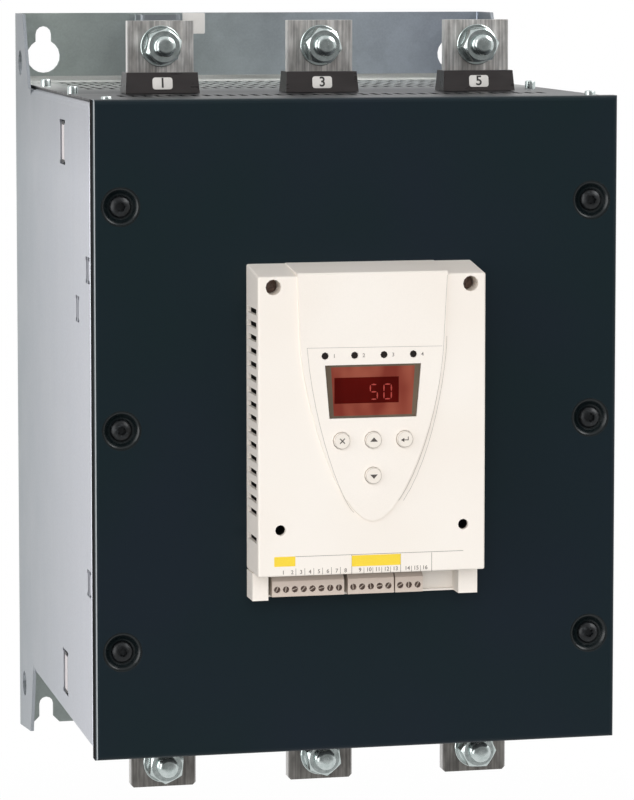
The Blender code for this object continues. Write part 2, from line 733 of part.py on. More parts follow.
def cover_screw_places():
    return [(side * COVER_SCREW_X, row * COVER_SCREW_PITCH) for side in (-1, 1) for row in COVER_SCREW_ROWS]


def build_front_cover():
    """Pan-shaped cover with rounded front edges and six screw dimples."""
    half = HALF_WIDTH - COVER_SIDE_INSET
    low = -HALF_BOX - COVER_BOTTOM_OVERLAP
    high = HALF_BOX + COVER_TOP_OVERLAP
    cover = block("front_cover", (-half, COVER_FACE, low), (half, COVER_BACK, high), "cover_paint")
    shape = bmesh.new()
    shape.from_mesh(cover.data)
    shape.faces.ensure_lookup_table()
    rear = [face for face in shape.faces if face.normal.y > 0.5]
    bmesh.ops.delete(shape, geom=rear, context="FACES_ONLY")
    front = min(vertex.co.y for vertex in shape.verts)
    rim = [edge for edge in shape.edges if all(abs(v.co.y - front) < 0.0001 for v in edge.verts)]
    bmesh.ops.bevel(
        shape, geom=rim, offset=COVER_EDGE_RADIUS, segments=BEND_STEPS, profile=0.5, affect="EDGES"
    )
    shape.to_mesh(cover.data)
    shape.free()
    sheet = cover.modifiers.new("sheet", "SOLIDIFY")
    sheet.thickness = PANEL_SHEET
    sheet.offset = -1.0
    sheet.use_even_offset = True
    places = cover_screw_places()
    floor = COVER_FACE + DIMPLE_DEPTH
    for index, (x, z) in enumerate(places):
        boss = [
            (0.0, PANEL_SHEET / 2), (DIMPLE_RADIUS + PANEL_SHEET, PANEL_SHEET / 2),
            (DIMPLE_RADIUS + PANEL_SHEET, PANEL_SHEET / 2 - DIMPLE_BOSS_RIM),
            (DIMPLE_FLOOR_RADIUS + PANEL_SHEET, -DIMPLE_DEPTH), (0.0, -DIMPLE_DEPTH),
        ]
        centre = (x, COVER_FACE + PANEL_SHEET, z)
        fuse(cover, turned("dimple_boss_%d" % (index + 1), boss, centre, "front", steps=HOLE_STEPS))
        recess = [(0.0, CUT_MARGIN), (DIMPLE_RADIUS, CUT_MARGIN), (DIMPLE_RADIUS, 0.0)]
        recess += [(DIMPLE_FLOOR_RADIUS, -DIMPLE_DEPTH), (0.0, -DIMPLE_DEPTH)]
        centre = (x, COVER_FACE, z)
        cut(cover, turned("dimple_recess_%d" % (index + 1), recess, centre, "front", steps=HOLE_STEPS))
    loops = [circle(place, SCREW_SHANK_RADIUS + GAP, SMALL_STEPS) for place in places]
    width = CABLE_WINDOW_WIDTH / 2
    height = CABLE_WINDOW_HEIGHT / 2
    loops.append(rounded_rectangle(-width, -height, width, height, MODULE_WALL))
    cut(cover, prism("cover_openings", loops, "XZ", COVER_FACE - CUT_MARGIN, floor + CUT_MARGIN))


def build_cover_screws():
    """Pan-head screws, seated on the floors of the cover's dimples."""
    head = SCREW_HEAD_RADIUS
    tall = SCREW_HEAD_HEIGHT
    profile = [
        (0.0, tall), (head * SCREW_DOME_SHARE, tall), (head, tall * (1 - SCREW_DOME_SHARE)), (head, 0.0),
        (SCREW_SHANK_RADIUS, 0.0), (SCREW_SHANK_RADIUS, -SCREW_LENGTH), (0.0, -SCREW_LENGTH),
    ]
    seat = COVER_FACE + DIMPLE_DEPTH - GAP
    places = cover_screw_places()
    first_place = (places[0][0], seat, places[0][1])
    first = turned("cover_screw_1", profile, first_place, "front", "zinc_steel", HOLE_STEPS)
    bake(first)
    for index, (x, z) in enumerate(places[1:]):
        copy_to(first, "cover_screw_%d" % (index + 2), (x, seat, z))


def build_heat_sink():
    """Extruded heat sink: a base with upright cooling fins towards the wall."""
    face = -HEAT_SINK_FACE_DEPTH
    root = face + HEAT_SINK_BASE
    half = INNER_WALL - GAP
    step = (2 * half - FIN_THICKNESS) / (FIN_COUNT - 1)
    outline = [(-half, face), (half, face)]
    for fin in range(FIN_COUNT):
        right = half - fin * step
        left = right - FIN_THICKNESS
        if fin > 0:
            outline.append((right, root))
        outline += [(right, -HEAT_SINK_REAR_DEPTH), (left, -HEAT_SINK_REAR_DEPTH)]
        if fin < FIN_COUNT - 1:
            outline.append((left, root))
    prism("heat_sink", [outline], "XY", FAN_TOP + GAP, HEAT_SINK_TOP, "extruded_aluminium")


def build_fan_frame(name, x):
    """Square fan frame with a round duct, four struts, a motor disc and the axle."""
    half = FAN_SIZE / 2
    outer = rounded_rectangle(x - half, FAN_Y - half, x + half, FAN_Y + half, FAN_CORNER)
    frame = prism(name, [outer], "XY", FAN_BOTTOM, FAN_TOP, "fan_plastic")
    duct = circle((x, FAN_Y), FAN_BORE_RADIUS, DUCT_STEPS)
    cut(frame, prism(name + "_duct", [duct], "XY", FAN_BOTTOM - CUT_MARGIN, FAN_TOP + CUT_MARGIN))
    low = FAN_BOTTOM + GAP
    high = low + FAN_STRUT_HEIGHT
    arm = FAN_STRUT_WIDTH / 2
    reach = FAN_BORE_RADIUS + arm
    for label, span_x, span_y in (("across", reach, arm), ("along", arm, reach)):
        corner_low = (x - span_x, FAN_Y - span_y, low)
        corner_high = (x + span_x, FAN_Y + span_y, high)
        fuse(frame, block("%s_strut_%s" % (name, label), corner_low, corner_high))
        low += GAP
        high += GAP
    disc = high + FAN_STRUT_HEIGHT / 2
    hub = [
        (0.0, disc + FAN_AXLE_LENGTH), (FAN_AXLE_RADIUS, disc + FAN_AXLE_LENGTH), (FAN_AXLE_RADIUS, disc),
        (FAN_HUB_RADIUS, disc), (FAN_HUB_RADIUS, FAN_BOTTOM + 2 * FAN_STRUT_HEIGHT / 3),
        (0.0, FAN_BOTTOM + 2 * FAN_STRUT_HEIGHT / 3),
    ]
    fuse(frame, turned(name + "_hub", hub, (x, FAN_Y, 0.0), "up", steps=HOLE_STEPS))
    return disc


def build_fan_rotor(name, x, disc):
    """Fan wheel with pitched blades, turning on the frame's axle."""
    seat = disc + GAP
    bore = FAN_AXLE_RADIUS + GAP
    depth = FAN_AXLE_LENGTH
    profile = [
        (0.0, FAN_HUB_HEIGHT), (FAN_HUB_RADIUS, FAN_HUB_HEIGHT), (FAN_HUB_RADIUS, 0.0),
        (bore, 0.0), (bore, depth), (0.0, depth),
    ]
    rotor = turned(name, profile, (x, FAN_Y, seat), "up", "fan_plastic", HOLE_STEPS)
    middle = FAN_HUB_HEIGHT / 2
    inner = FAN_HUB_RADIUS - FAN_BLADE_THICKNESS
    for blade in range(FAN_BLADE_COUNT):
        low = (inner, -FAN_BLADE_CHORD / 2, -FAN_BLADE_THICKNESS / 2)
        high = (FAN_BLADE_RADIUS, FAN_BLADE_CHORD / 2, FAN_BLADE_THICKNESS / 2)
        tool = block("%s_blade_%d" % (name, blade + 1), low, high)
        taper(tool, 0, -1, ((1, FAN_BLADE_ROOT_SHARE),))
        angle = 2 * math.pi * blade / FAN_BLADE_COUNT
        turn = Matrix.Rotation(angle, 4, "Z") @ Matrix.Rotation(FAN_BLADE_PITCH, 4, "X")
        tool.data.transform(Matrix.Translation(((inner + FAN_BLADE_RADIUS) / 2, 0.0, 0.0)))
        tool.matrix_world = Matrix.Translation((x, FAN_Y, seat + middle)) @ turn
        fuse(rotor, tool)


def build_thyristor_modules():
    """Power modules on the heat sink, each with two terminal pads for its bars."""
    foot = THYRISTOR_REAR - THYRISTOR_FOOT
    body = THYRISTOR_REAR - THYRISTOR_BODY_DEPTH
    half = THYRISTOR_HEIGHT / 2
    shoulder = THYRISTOR_BODY_HEIGHT / 2
    upper = [
        (body, THYRISTOR_PAD_INNER), (THYRISTOR_FRONT, THYRISTOR_PAD_INNER),
        (THYRISTOR_FRONT, THYRISTOR_PAD_OUTER), (body, THYRISTOR_PAD_OUTER), (body, shoulder),
        (foot, shoulder), (foot, half), (THYRISTOR_REAR, half),
    ]
    outline = upper + [(y, -z) for y, z in reversed(upper)]
    for index, x in enumerate(BAR_CENTRES):
        left = x - THYRISTOR_WIDTH / 2
        name = "thyristor_module_%d" % (index + 1)
        prism(name, [outline], "YZ", left, left + THYRISTOR_WIDTH, "module_plastic")


def build_bypass_contactor():
    """Three-pole bypass contactor in front of the bars, grooved between its poles."""
    half = CONTACTOR_HEIGHT / 2
    nose = CONTACTOR_NOSE_HEIGHT / 2
    step = CONTACTOR_REAR - CONTACTOR_STEP_DEPTH
    outline = [
        (CONTACTOR_REAR, -half), (step, -half), (step, -nose), (CONTACTOR_FRONT, -nose),
        (CONTACTOR_FRONT, nose), (step, nose), (step, half), (CONTACTOR_REAR, half),
    ]
    width = CONTACTOR_WIDTH / 2
    contactor = prism("bypass_contactor", [outline], "YZ", -width, width, "contactor_plastic")
    for side, label in ((-1, "left"), (1, "right")):
        x = side * BAR_PITCH / 2
        low = (x - CONTACTOR_GROOVE / 2, step, -half - CUT_MARGIN)
        high = (x + CONTACTOR_GROOVE / 2, CONTACTOR_REAR + CUT_MARGIN, half + CUT_MARGIN)
        cut(contactor, block("contactor_groove_" + label, low, high))


def build_current_transformers():
    """Ring current transformers round the load bars."""
    half_width = BAR_WIDTH / 2 + GAP
    half_depth = BAR_THICKNESS / 2 + GAP
    for index, x in enumerate(BAR_CENTRES):
        width = SENSOR_WIDTH / 2
        depth = SENSOR_DEPTH / 2
        ring = rounded_rectangle(x - width, -BAR_DEPTH - depth, x + width, -BAR_DEPTH + depth, SENSOR_CORNER)
        window = rectangle(x - half_width, -BAR_DEPTH - half_depth, x + half_width, -BAR_DEPTH + half_depth)
        name = "current_transformer_%d" % (index + 1)
        low = SENSOR_Z - SENSOR_HEIGHT / 2
        prism(name, [ring, window], "XY", low, low + SENSOR_HEIGHT, "module_plastic")


def build_bars(label, side):
    """Copper bars, joggled back to the power modules, with a bolt hole outside the panel."""
    path = [
        (-BAR_DEPTH, side * BAR_END), (-BAR_DEPTH, side * BAR_JOGGLE_OUTER),
        (-BAR_PAD_DEPTH, side * BAR_JOGGLE_INNER), (-BAR_PAD_DEPTH, side * THYRISTOR_PAD_INNER),
    ]
    outline = folded_outline(path, BAR_THICKNESS, BAR_BEND_RADIUS)
    reach = (BAR_FRONT - CUT_MARGIN, BAR_REAR + CUT_MARGIN)
    end = side * BAR_END
    beyond = side * (BAR_END + CUT_MARGIN)
    for index, x in enumerate(BAR_CENTRES):
        name = "%s_bar_%d" % (label, index + 1)
        left = x - BAR_WIDTH / 2
        right = x + BAR_WIDTH / 2
        bar = prism(name, [outline], "YZ", left, right, "tinned_copper")
        loops = [circle((x, side * BOLT_Z), BOLT_HOLE_RADIUS)]
        if side < 0:
            for edge, inward in ((left, 1), (right, -1)):
                outside = edge - inward * CUT_MARGIN
                loops.append([(edge + inward * BAR_CORNER, end), (edge, end - side * BAR_CORNER),
                              (outside, end - side * BAR_CORNER), (outside, beyond),
                              (edge + inward * BAR_CORNER, beyond)])
        cut(bar, prism(name + "_cuts", loops, "XZ", *reach))


def build_bolts():
    """Terminal bolts: bolt, two washers and nut fused into one solid for each bar."""
    washer = BOLT_WASHER_THICKNESS
    face = BAR_THICKNESS / 2 + GAP
    nut_top = face + washer + BOLT_NUT_HEIGHT
    tip = nut_top + BOLT_THREAD_OUT
    head = -face - washer - BOLT_HEAD_HEIGHT
    profile = [
        (0.0, tip), (BOLT_RADIUS - BOLT_TIP_CHAMFER, tip), (BOLT_RADIUS, tip - BOLT_TIP_CHAMFER),
        (BOLT_RADIUS, face + washer), (BOLT_WASHER_RADIUS, face + washer), (BOLT_WASHER_RADIUS, face),
        (BOLT_RADIUS, face), (BOLT_RADIUS, -face), (BOLT_WASHER_RADIUS, -face),
        (BOLT_WASHER_RADIUS, -face - washer), (BOLT_RADIUS, -face - washer),
        (BOLT_RADIUS, head + GAP), (0.0, head + GAP),
    ]
    places = [(x, -BAR_DEPTH, side * BOLT_Z) for side in (1, -1) for x in BAR_CENTRES]
    names = ["line_bolt_%d" % (index + 1) for index in range(len(BAR_CENTRES))]
    names += ["load_bolt_%d" % (index + 1) for index in range(len(BAR_CENTRES))]
    first = turned(names[0], profile, places[0], "front", "zinc_steel", HOLE_STEPS)
    outline = [hexagon((places[0][0], places[0][2]), BOLT_NUT_ACROSS_FLATS)]
    overlap = washer / 2
    nut = (-BAR_DEPTH - face - overlap, -BAR_DEPTH - nut_top)
    fuse(first, prism("bolt_nut", outline, "XZ", *nut))
    back = (-BAR_DEPTH - head, -BAR_DEPTH + face + overlap)
    fuse(first, prism("bolt_head", outline, "XZ", *back))
    bake(first)
    for name, place in zip(names[1:], places[1:]):
        copy_to(first, name, place)


def build_holders(label, side):
    """Insulating holders: a sleeve through the panel with a tapered collar outside it."""
    seat = PANEL_OUTER + GAP
    for index, x in enumerate(BAR_CENTRES):
        name = "%s_holder_%d" % (label, index + 1)
        levels = sorted((side * seat, side * (seat + COLLAR_HEIGHT)))
        low = (x - COLLAR_WIDTH / 2, -BAR_DEPTH - COLLAR_DEPTH / 2, levels[0])
        high = (x + COLLAR_WIDTH / 2, -BAR_DEPTH + COLLAR_DEPTH / 2, levels[1])
        holder = block(name, low, high, "black_plastic")
        ratios = ((0, COLLAR_TOP_WIDTH / COLLAR_WIDTH), (1, COLLAR_TOP_DEPTH / COLLAR_DEPTH))
        taper(holder, 2, side, ratios)
        levels = sorted((side * (seat - HOLDER_INNER_LENGTH), side * (seat + GAP)))
        low = (x - HOLDER_WIDTH / 2, HOLDER_FRONT, levels[0])
        high = (x + HOLDER_WIDTH / 2, HOLDER_REAR, levels[1])
        fuse(holder, block(name + "_sleeve", low, high))
        half_width = BAR_WIDTH / 2 + GAP
        half_depth = BAR_THICKNESS / 2 + GAP
        levels = sorted((side * (seat - 2 * HOLDER_INNER_LENGTH), side * (seat + 2 * COLLAR_HEIGHT)))
        low = (x - half_width, -BAR_DEPTH - half_depth, levels[0])
        high = (x + half_width, -BAR_DEPTH + half_depth, levels[1])
        cut(holder, block(name + "_channel", low, high))


def build_supports():
    """Crossbars behind the holders, the contactor bracket and the plate of the driver board."""
    side = HALF_WIDTH - CROSSBAR_SHEET / 2
    ear = CROSSBAR_MIDDLE - CROSSBAR_SHEET / 2 - CROSSBAR_EAR
    path = [(-side, ear), (-side, CROSSBAR_MIDDLE), (side, CROSSBAR_MIDDLE), (side, ear)]
    outline = folded_outline(path, CROSSBAR_SHEET, BEND_RADIUS)
    for name, z in (("upper_crossbar", CROSSBAR_Z), ("lower_crossbar", -CROSSBAR_Z)):
        low = z - CROSSBAR_HEIGHT / 2
        prism(name, [outline], "XY", low, low + CROSSBAR_HEIGHT, "galvanised_sheet")
    low = (-HALF_WIDTH, BRACKET_FRONT, BRACKET_Z - TAB_HEIGHT / 2)
    high = (HALF_WIDTH, BRACKET_REAR, BRACKET_Z + TAB_HEIGHT / 2)
    block("contactor_bracket", low, high, "galvanised_sheet")
    half = INNER_WALL - BOARD_PLATE_SIDE_GAP
    top = BOARD_PLATE_HEIGHT / 2
    tab_high = BOARD_TAB_Z + TAB_HEIGHT / 2
    tab_low = BOARD_TAB_Z - TAB_HEIGHT / 2
    outline = rectangle(-HALF_WIDTH, -top, HALF_WIDTH, top)
    beyond = HALF_WIDTH + CUT_MARGIN
    beside = []
    for low, high in ((-top - CUT_MARGIN, -tab_high), (-tab_low, tab_low), (tab_high, top + CUT_MARGIN)):
        beside += [rectangle(-beyond, low, -half, high), rectangle(half, low, beyond, high)]
    width = BOARD_PLATE_WINDOW_WIDTH / 2
    height = BOARD_PLATE_WINDOW_HEIGHT / 2
    window = rounded_rectangle(-width, -height, width, height, SLOT_RELIEF)
    front = BOARD_PLATE_FRONT
    rear = BOARD_PLATE_REAR
    plate = prism("board_plate", [outline], "XZ", rear, front, "galvanised_sheet")
    cut(plate, prism("board_plate_cuts", beside + [window], "XZ", rear + CUT_MARGIN, front - CUT_MARGIN))
    profile = [
        (0.0, PANEL_SHEET / 2), (STANDOFF_RADIUS, PANEL_SHEET / 2),
        (STANDOFF_RADIUS, -DRIVER_BOARD_STANDOFF), (0.0, -DRIVER_BOARD_STANDOFF),
    ]
    for index, (x, z) in enumerate(standoff_places()):
        tool = turned("standoff_%d" % (index + 1), profile, (x, rear, z), "front", steps=SMALL_STEPS)
        fuse(plate, tool)


def standoff_places():
    x = DRIVER_BOARD_WIDTH / 2 - STANDOFF_INSET
    z = DRIVER_BOARD_HEIGHT / 2 - STANDOFF_INSET
    return [(-x, -z), (x, -z), (-x, z), (x, z)]


def build_driver_board():
    """Firing and supply board, its parts towards the power section."""
    front = BOARD_PLATE_REAR + DRIVER_BOARD_STANDOFF + GAP
    rear = front + BOARD_THICKNESS
    half = DRIVER_BOARD_WIDTH / 2
    top = DRIVER_BOARD_HEIGHT / 2
    board = block("driver_board", (-half, front, -top), (half, rear, top), "circuit_board")
    size = TRANSFORMER_SIZE / 2
    low = (-half + STANDOFF_INSET * 2, rear - BOARD_THICKNESS / 2, -size)
    high = (low[0] + TRANSFORMER_SIZE, rear + TRANSFORMER_DEPTH, size)
    fuse(board, block("transformer", low, high))
    for index in range(CAPACITOR_COUNT):
        x = (index + 1) * CAPACITOR_PITCH
        loop = circle((x, 0.0), CAPACITOR_RADIUS)
        levels = (rear + CAPACITOR_DEPTH, rear - BOARD_THICKNESS / 2)
        fuse(board, prism("capacitor_%d" % (index + 1), [loop], "XZ", *levels))


def build_earth_terminal():
    """Hat-shaped earth bracket on the back plate with its stud and nut."""
    foot = -CHASSIS_SHEET - GAP - CROSSBAR_SHEET / 2
    web = -EARTH_DEPTH
    half = EARTH_WIDTH / 2
    path = [(-half - EARTH_FOOT, foot), (-half, foot), (-half, web), (half, web), (half, foot)]
    path.append((half + EARTH_FOOT, foot))
    outline = [(EARTH_X + x, y) for x, y in folded_outline(path, CROSSBAR_SHEET, BEND_RADIUS)]
    bracket = prism("earth_terminal", [outline], "XY", EARTH_LOW, EARTH_HIGH, "galvanised_sheet")
    middle = (EARTH_LOW + EARTH_HIGH) / 2
    nut = hexagon((EARTH_X, middle), EARTH_NUT_RADIUS * math.sqrt(3))
    face = web - CROSSBAR_SHEET / 2
    fuse(bracket, prism("earth_nut", [nut], "XZ", web, face - EARTH_NUT_HEIGHT))
    stud = circle((EARTH_X, middle), EARTH_STUD_RADIUS)
    fuse(bracket, prism("earth_stud", [stud], "XZ", web + CROSSBAR_SHEET, face - EARTH_STUD_LENGTH))


def shield_outline(grow=0.0):
    """Front view of the raised shield: straight shoulders that sweep to a rounded point."""
    shoulder = SHIELD_SHOULDER_HALF_WIDTH + grow
    tip = SHIELD_TIP_Z - grow
    right = []
    for step in range(SHIELD_STEPS + 1):
        t = step / SHIELD_STEPS
        weights = ((1 - t) ** 3, 3 * t * (1 - t) ** 2, 3 * t * t * (1 - t), t ** 3)
        pulls = ((shoulder, SHIELD_SHOULDER_Z), (SHIELD_SIDE_PULL[0] + grow, SHIELD_SIDE_PULL[1]))
        pulls += ((SHIELD_TIP_PULL, tip), (0.0, tip))
        x = sum(weight * pull[0] for weight, pull in zip(weights, pulls))
        z = sum(weight * pull[1] for weight, pull in zip(weights, pulls))
        right.append((x, z))
    top = (SHIELD_HALF_WIDTH + grow, MODULE_TOP_REAR + 2 * SHIELD_RISE)
    left = [(-x, z) for x, z in reversed(right[:-1])]
    return [top] + right + left + [(-top[0], top[1])]


def display_outline(grow):
    """Trapezoid of the display opening, larger by the given margin on every side."""
    top = DISPLAY_TOP_Z + grow
    low = DISPLAY_BOTTOM_Z - grow
    wide = DISPLAY_TOP_HALF_WIDTH + grow
    narrow = DISPLAY_BOTTOM_HALF_WIDTH + grow
    return [(-narrow, low), (narrow, low), (wide, top), (-wide, top)]


def indicator_centres():
    return [(INDICATOR_FIRST_X + index * INDICATOR_PITCH, INDICATOR_Z) for index in range(INDICATOR_COUNT)]


def boss_places():
    """Centre, recess radius and name of each screw boss of the control module."""
    places = []
    for side, label in ((-1, "left"), (1, "right")):
        places.append((side * TOP_BOSS_X, TOP_BOSS_Z, TOP_BOSS_HOLE_RADIUS, "top_" + label))
        places.append((side * LOW_BOSS_X, LOW_BOSS_Z, LOW_BOSS_HOLE_RADIUS, "low_" + label))
    return places


def build_control_cap():
    """Moulded cover of the control module with its raised shield, vents and screw bosses."""
    half = MODULE_WIDTH / 2
    side_view = [
        (MODULE_REAR, MODULE_TOP_REAR), (MODULE_FRONT, MODULE_TOP_FRONT),
        (MODULE_FRONT, MODULE_BOTTOM), (MODULE_REAR, MODULE_BOTTOM),
    ]
    cap = prism("control_cap", [side_view], "YZ", -half, half, "ivory_plastic")
    shape = bmesh.new()
    shape.from_mesh(cap.data)
    bmesh.ops.dissolve_limit(shape, angle_limit=0.01, verts=shape.verts, edges=shape.edges)
    front = [v for v in shape.verts if abs(v.co.x - MODULE_FRONT) < 0.0001]
    rim = [edge for edge in shape.edges if edge.verts[0] in front or edge.verts[1] in front]
    bmesh.ops.bevel(
        shape, geom=rim, offset=MODULE_EDGE_RADIUS, segments=2, profile=0.5, affect="EDGES"
    )
    shape.to_mesh(cap.data)
    shape.free()
    shield = prism("cap_shield", [shield_outline()], "XZ", MODULE_REAR, SHIELD_FRONT)
    band = [
        (MODULE_REAR + CUT_MARGIN, MODULE_TOP_REAR + SHIELD_REAR_RISE),
        (MODULE_REAR, MODULE_TOP_REAR + SHIELD_REAR_RISE),
        (SHIELD_FRONT + MODULE_EDGE_RADIUS, MODULE_TOP_FRONT + SHIELD_RISE),
        (SHIELD_FRONT, MODULE_TOP_FRONT + SHIELD_RISE - MODULE_EDGE_RADIUS),
        (SHIELD_FRONT, SHIELD_TIP_Z - CUT_MARGIN), (MODULE_REAR + CUT_MARGIN, SHIELD_TIP_Z - CUT_MARGIN),
    ]
    keep_within(shield, prism("shield_band", [band], "YZ", -half, half))
    fuse(cap, shield)
    chin = COVER_FACE - MODULE_DEPTH + MODULE_CHIN_DEPTH
    below = MODULE_BOTTOM - CUT_MARGIN
    floor = MODULE_BOTTOM + MODULE_WALL
    slope = (MODULE_TOP_REAR - MODULE_TOP_FRONT) / (MODULE_REAR - MODULE_FRONT)
    roof_front = MODULE_TOP_FRONT + slope * MODULE_WALL - MODULE_WALL
    roof_rear = MODULE_TOP_REAR + slope * CUT_MARGIN - MODULE_WALL
    hollow = [
        (MODULE_REAR + CUT_MARGIN, roof_rear), (CAVITY_FRONT, roof_front), (CAVITY_FRONT, floor),
        (chin, floor), (chin, below), (MODULE_REAR + CUT_MARGIN, below),
    ]
    inner = half - MODULE_WALL
    cut(cap, prism("cap_hollow", [hollow], "YZ", -inner, inner))
    seat = BASE_INNER_REAR - GAP
    for x, z, radius, label in boss_places():
        loop = circle((x, z), radius + BOSS_WALL)
        fuse(cap, prism("boss_" + label, [loop], "XZ", seat, CAVITY_FRONT - MODULE_WALL / 2))
        loop = circle((x, z), radius)
        depth = MODULE_FRONT + BOSS_HOLE_DEPTH
        cut(cap, prism("recess_" + label, [loop], "XZ", depth, MODULE_FRONT - CUT_MARGIN))
    vents = []
    centre = MODULE_FRONT + (MODULE_VENT_REAR_DEPTH + MODULE_DEPTH - MODULE_VENT_FRONT_DEPTH) / 2
    front = COVER_FACE - MODULE_VENT_FRONT_DEPTH
    rear = COVER_FACE - MODULE_VENT_REAR_DEPTH
    for index in list(range(MODULE_VENT_COUNT)) + [MODULE_VENT_COUNT + 1]:
        z = MODULE_VENT_FIRST_Z - index * MODULE_VENT_PITCH
        vents.append(rectangle(front, z - MODULE_VENT_HEIGHT / 2, rear, z + MODULE_VENT_HEIGHT / 2))
    cut(cap, prism("cap_vents_left", vents, "YZ", -half - CUT_MARGIN, -inner + GAP))
    cut(cap, prism("cap_vents_right", vents, "YZ", inner - GAP, half + CUT_MARGIN))
    holes = [display_outline(0.0)]
    holes += [circle(place, INDICATOR_RADIUS + GAP, SMALL_STEPS) for place in indicator_centres()]
    holes += [circle((x, z), KEY_RADIUS + GAP) for name, x, z in KEY_PLACES]
    cut(cap, prism("cap_openings", holes, "XZ", CAVITY_FRONT + CUT_MARGIN, SHIELD_FRONT - CUT_MARGIN))
    for index, (x, z) in enumerate(peg_places()):
        loop = circle((x, z), PEG_RADIUS, SMALL_STEPS)
        end = DISPLAY_BOARD_FRONT - GAP
        fuse(cap, prism("peg_%d" % (index + 1), [loop], "XZ", end, CAVITY_FRONT - MODULE_WALL / 2))


def peg_places():
    x = DISPLAY_BOARD_WIDTH / 2 - PEG_INSET
    low = DISPLAY_BOARD_WIDTH / 2 - LOW_PEG_INSET
    return [(-x, DISPLAY_BOARD_TOP - PEG_INSET), (x, DISPLAY_BOARD_TOP - PEG_INSET),
            (-low, -PEG_INSET), (low, -PEG_INSET)]


def build_control_base():
    """Base of the control module: rear plate, terminal trough and two hollow-backed cheeks."""
    half = MODULE_WIDTH / 2
    top = MODULE_BOTTOM - GAP
    low = (-half, BASE_FRONT, BASE_BOTTOM)
    base = block("control_base", low, (half, MODULE_REAR, top), "ivory_plastic")
    plate_half = half - MODULE_WALL - GAP
    low = (-plate_half, BASE_INNER_REAR, top - BASE_BACK_WALL)
    fuse(base, block("base_plate", low, (plate_half, MODULE_REAR, BASE_PLATE_TOP)))
    left = -half + BASE_LEFT_CHEEK
    right = half - BASE_RIGHT_CHEEK
    floor = BASE_BOTTOM + BASE_FLOOR
    low = (left, BASE_FRONT - CUT_MARGIN, floor)
    cut(base, block("base_trough", low, (right, BASE_INNER_REAR, top + CUT_MARGIN)))
    low = (left, BASE_FRONT - CUT_MARGIN, BASE_BOTTOM - CUT_MARGIN)
    high = (right, CONTROL_BOARD_FRONT, floor + BASE_FLOOR / 2)
    cut(base, block("base_wire_opening", low, high))
    width = BASE_WINDOW_WIDTH / 2
    height = BASE_WINDOW_HEIGHT / 2
    window = rounded_rectangle(-width, -height, width, height, MODULE_WALL)
    cut(base, prism("base_window", [window], "XZ", MODULE_REAR + CUT_MARGIN, BASE_INNER_REAR - CUT_MARGIN))


def build_control_board():
    """Control board with notches round the lower screw bosses."""
    half = CONTROL_BOARD_WIDTH / 2
    last = TERMINAL_BLOCKS[-1]
    right = last[2] + last[1] * TERMINAL_PITCH + 2 * last[3]
    outline = [
        (-half, CONTROL_BOARD_BOTTOM), (right, CONTROL_BOARD_BOTTOM), (right, CONTROL_BOARD_SHOULDER),
        (half, CONTROL_BOARD_SHOULDER), (half, CONTROL_BOARD_TOP), (-half, CONTROL_BOARD_TOP),
    ]
    board = prism("control_board", [outline], "XZ", CONTROL_BOARD_REAR, CONTROL_BOARD_FRONT, "circuit_board")
    clear = LOW_BOSS_HOLE_RADIUS + BOSS_WALL + GAP
    loops = []
    for side in (-1, 1):
        edge = side * LOW_BOSS_X
        outer = side * (half + CUT_MARGIN)
        loops.append([(edge - side * clear, LOW_BOSS_Z - clear), (outer, LOW_BOSS_Z - clear),
                      (outer, LOW_BOSS_Z + clear), (edge - side * clear, LOW_BOSS_Z + clear)])
    reach = (CONTROL_BOARD_REAR + CUT_MARGIN, CONTROL_BOARD_FRONT - CUT_MARGIN)
    cut(board, prism("board_notches", loops, "XZ", *reach))


def build_terminal_blocks():
    """Screw terminal blocks: a sloped lip above a row of recessed clamping screws."""
    rear = CONTROL_BOARD_FRONT - GAP
    front = rear - TERMINAL_DEPTH
    profile = [
        (rear, TERMINAL_BOTTOM), (front, TERMINAL_BOTTOM), (front, TERMINAL_TOP - TERMINAL_CHAMFER),
        (front + TERMINAL_CHAMFER, TERMINAL_TOP), (rear, TERMINAL_TOP),
    ]
    for name, poles, left, end in TERMINAL_BLOCKS:
        width = poles * TERMINAL_PITCH + 2 * end
        body = prism(name, [profile], "YZ", left, left + width, "terminal_plastic")
        first = left + end + TERMINAL_PITCH / 2
        loops = [circle((first + pole * TERMINAL_PITCH, TERMINAL_HOLE_Z), TERMINAL_HOLE_RADIUS, SMALL_STEPS)
                 for pole in range(poles)]
        depth = (front + TERMINAL_HOLE_DEPTH, front - CUT_MARGIN)
        cut(body, prism(name + "_screw_wells", loops, "XZ", *depth))
        entry_front = front + WIRE_ENTRY_FRONT_WALL
        entries = []
        for pole in range(poles):
            x = first + pole * TERMINAL_PITCH
            half = WIRE_ENTRY_WIDTH / 2
            entries.append(rectangle(x - half, entry_front, x + half, entry_front + WIRE_ENTRY_DEPTH))
        levels = (TERMINAL_BOTTOM - CUT_MARGIN, TERMINAL_BOTTOM + WIRE_ENTRY_HEIGHT)
        cut(body, prism(name + "_wire_entries", entries, "XY", *levels))


def build_port_socket():
    """Downward-facing data socket behind the cap's lower edge."""
    rear = CONTROL_BOARD_FRONT - GAP
    front = rear - PORT_DEPTH
    low = CONTROL_BOARD_SHOULDER
    high = low + PORT_HEIGHT
    right = PORT_LEFT + PORT_WIDTH
    socket = block("port_socket", (PORT_LEFT, front, low), (right, rear, high), "black_plastic")
    inner_low = (PORT_LEFT + PORT_WALL, front + PORT_WALL, low - CUT_MARGIN)
    inner_high = (right - PORT_WALL, rear - PORT_WALL, high - PORT_WALL)
    cut(socket, block("port_cavity", inner_low, inner_high))


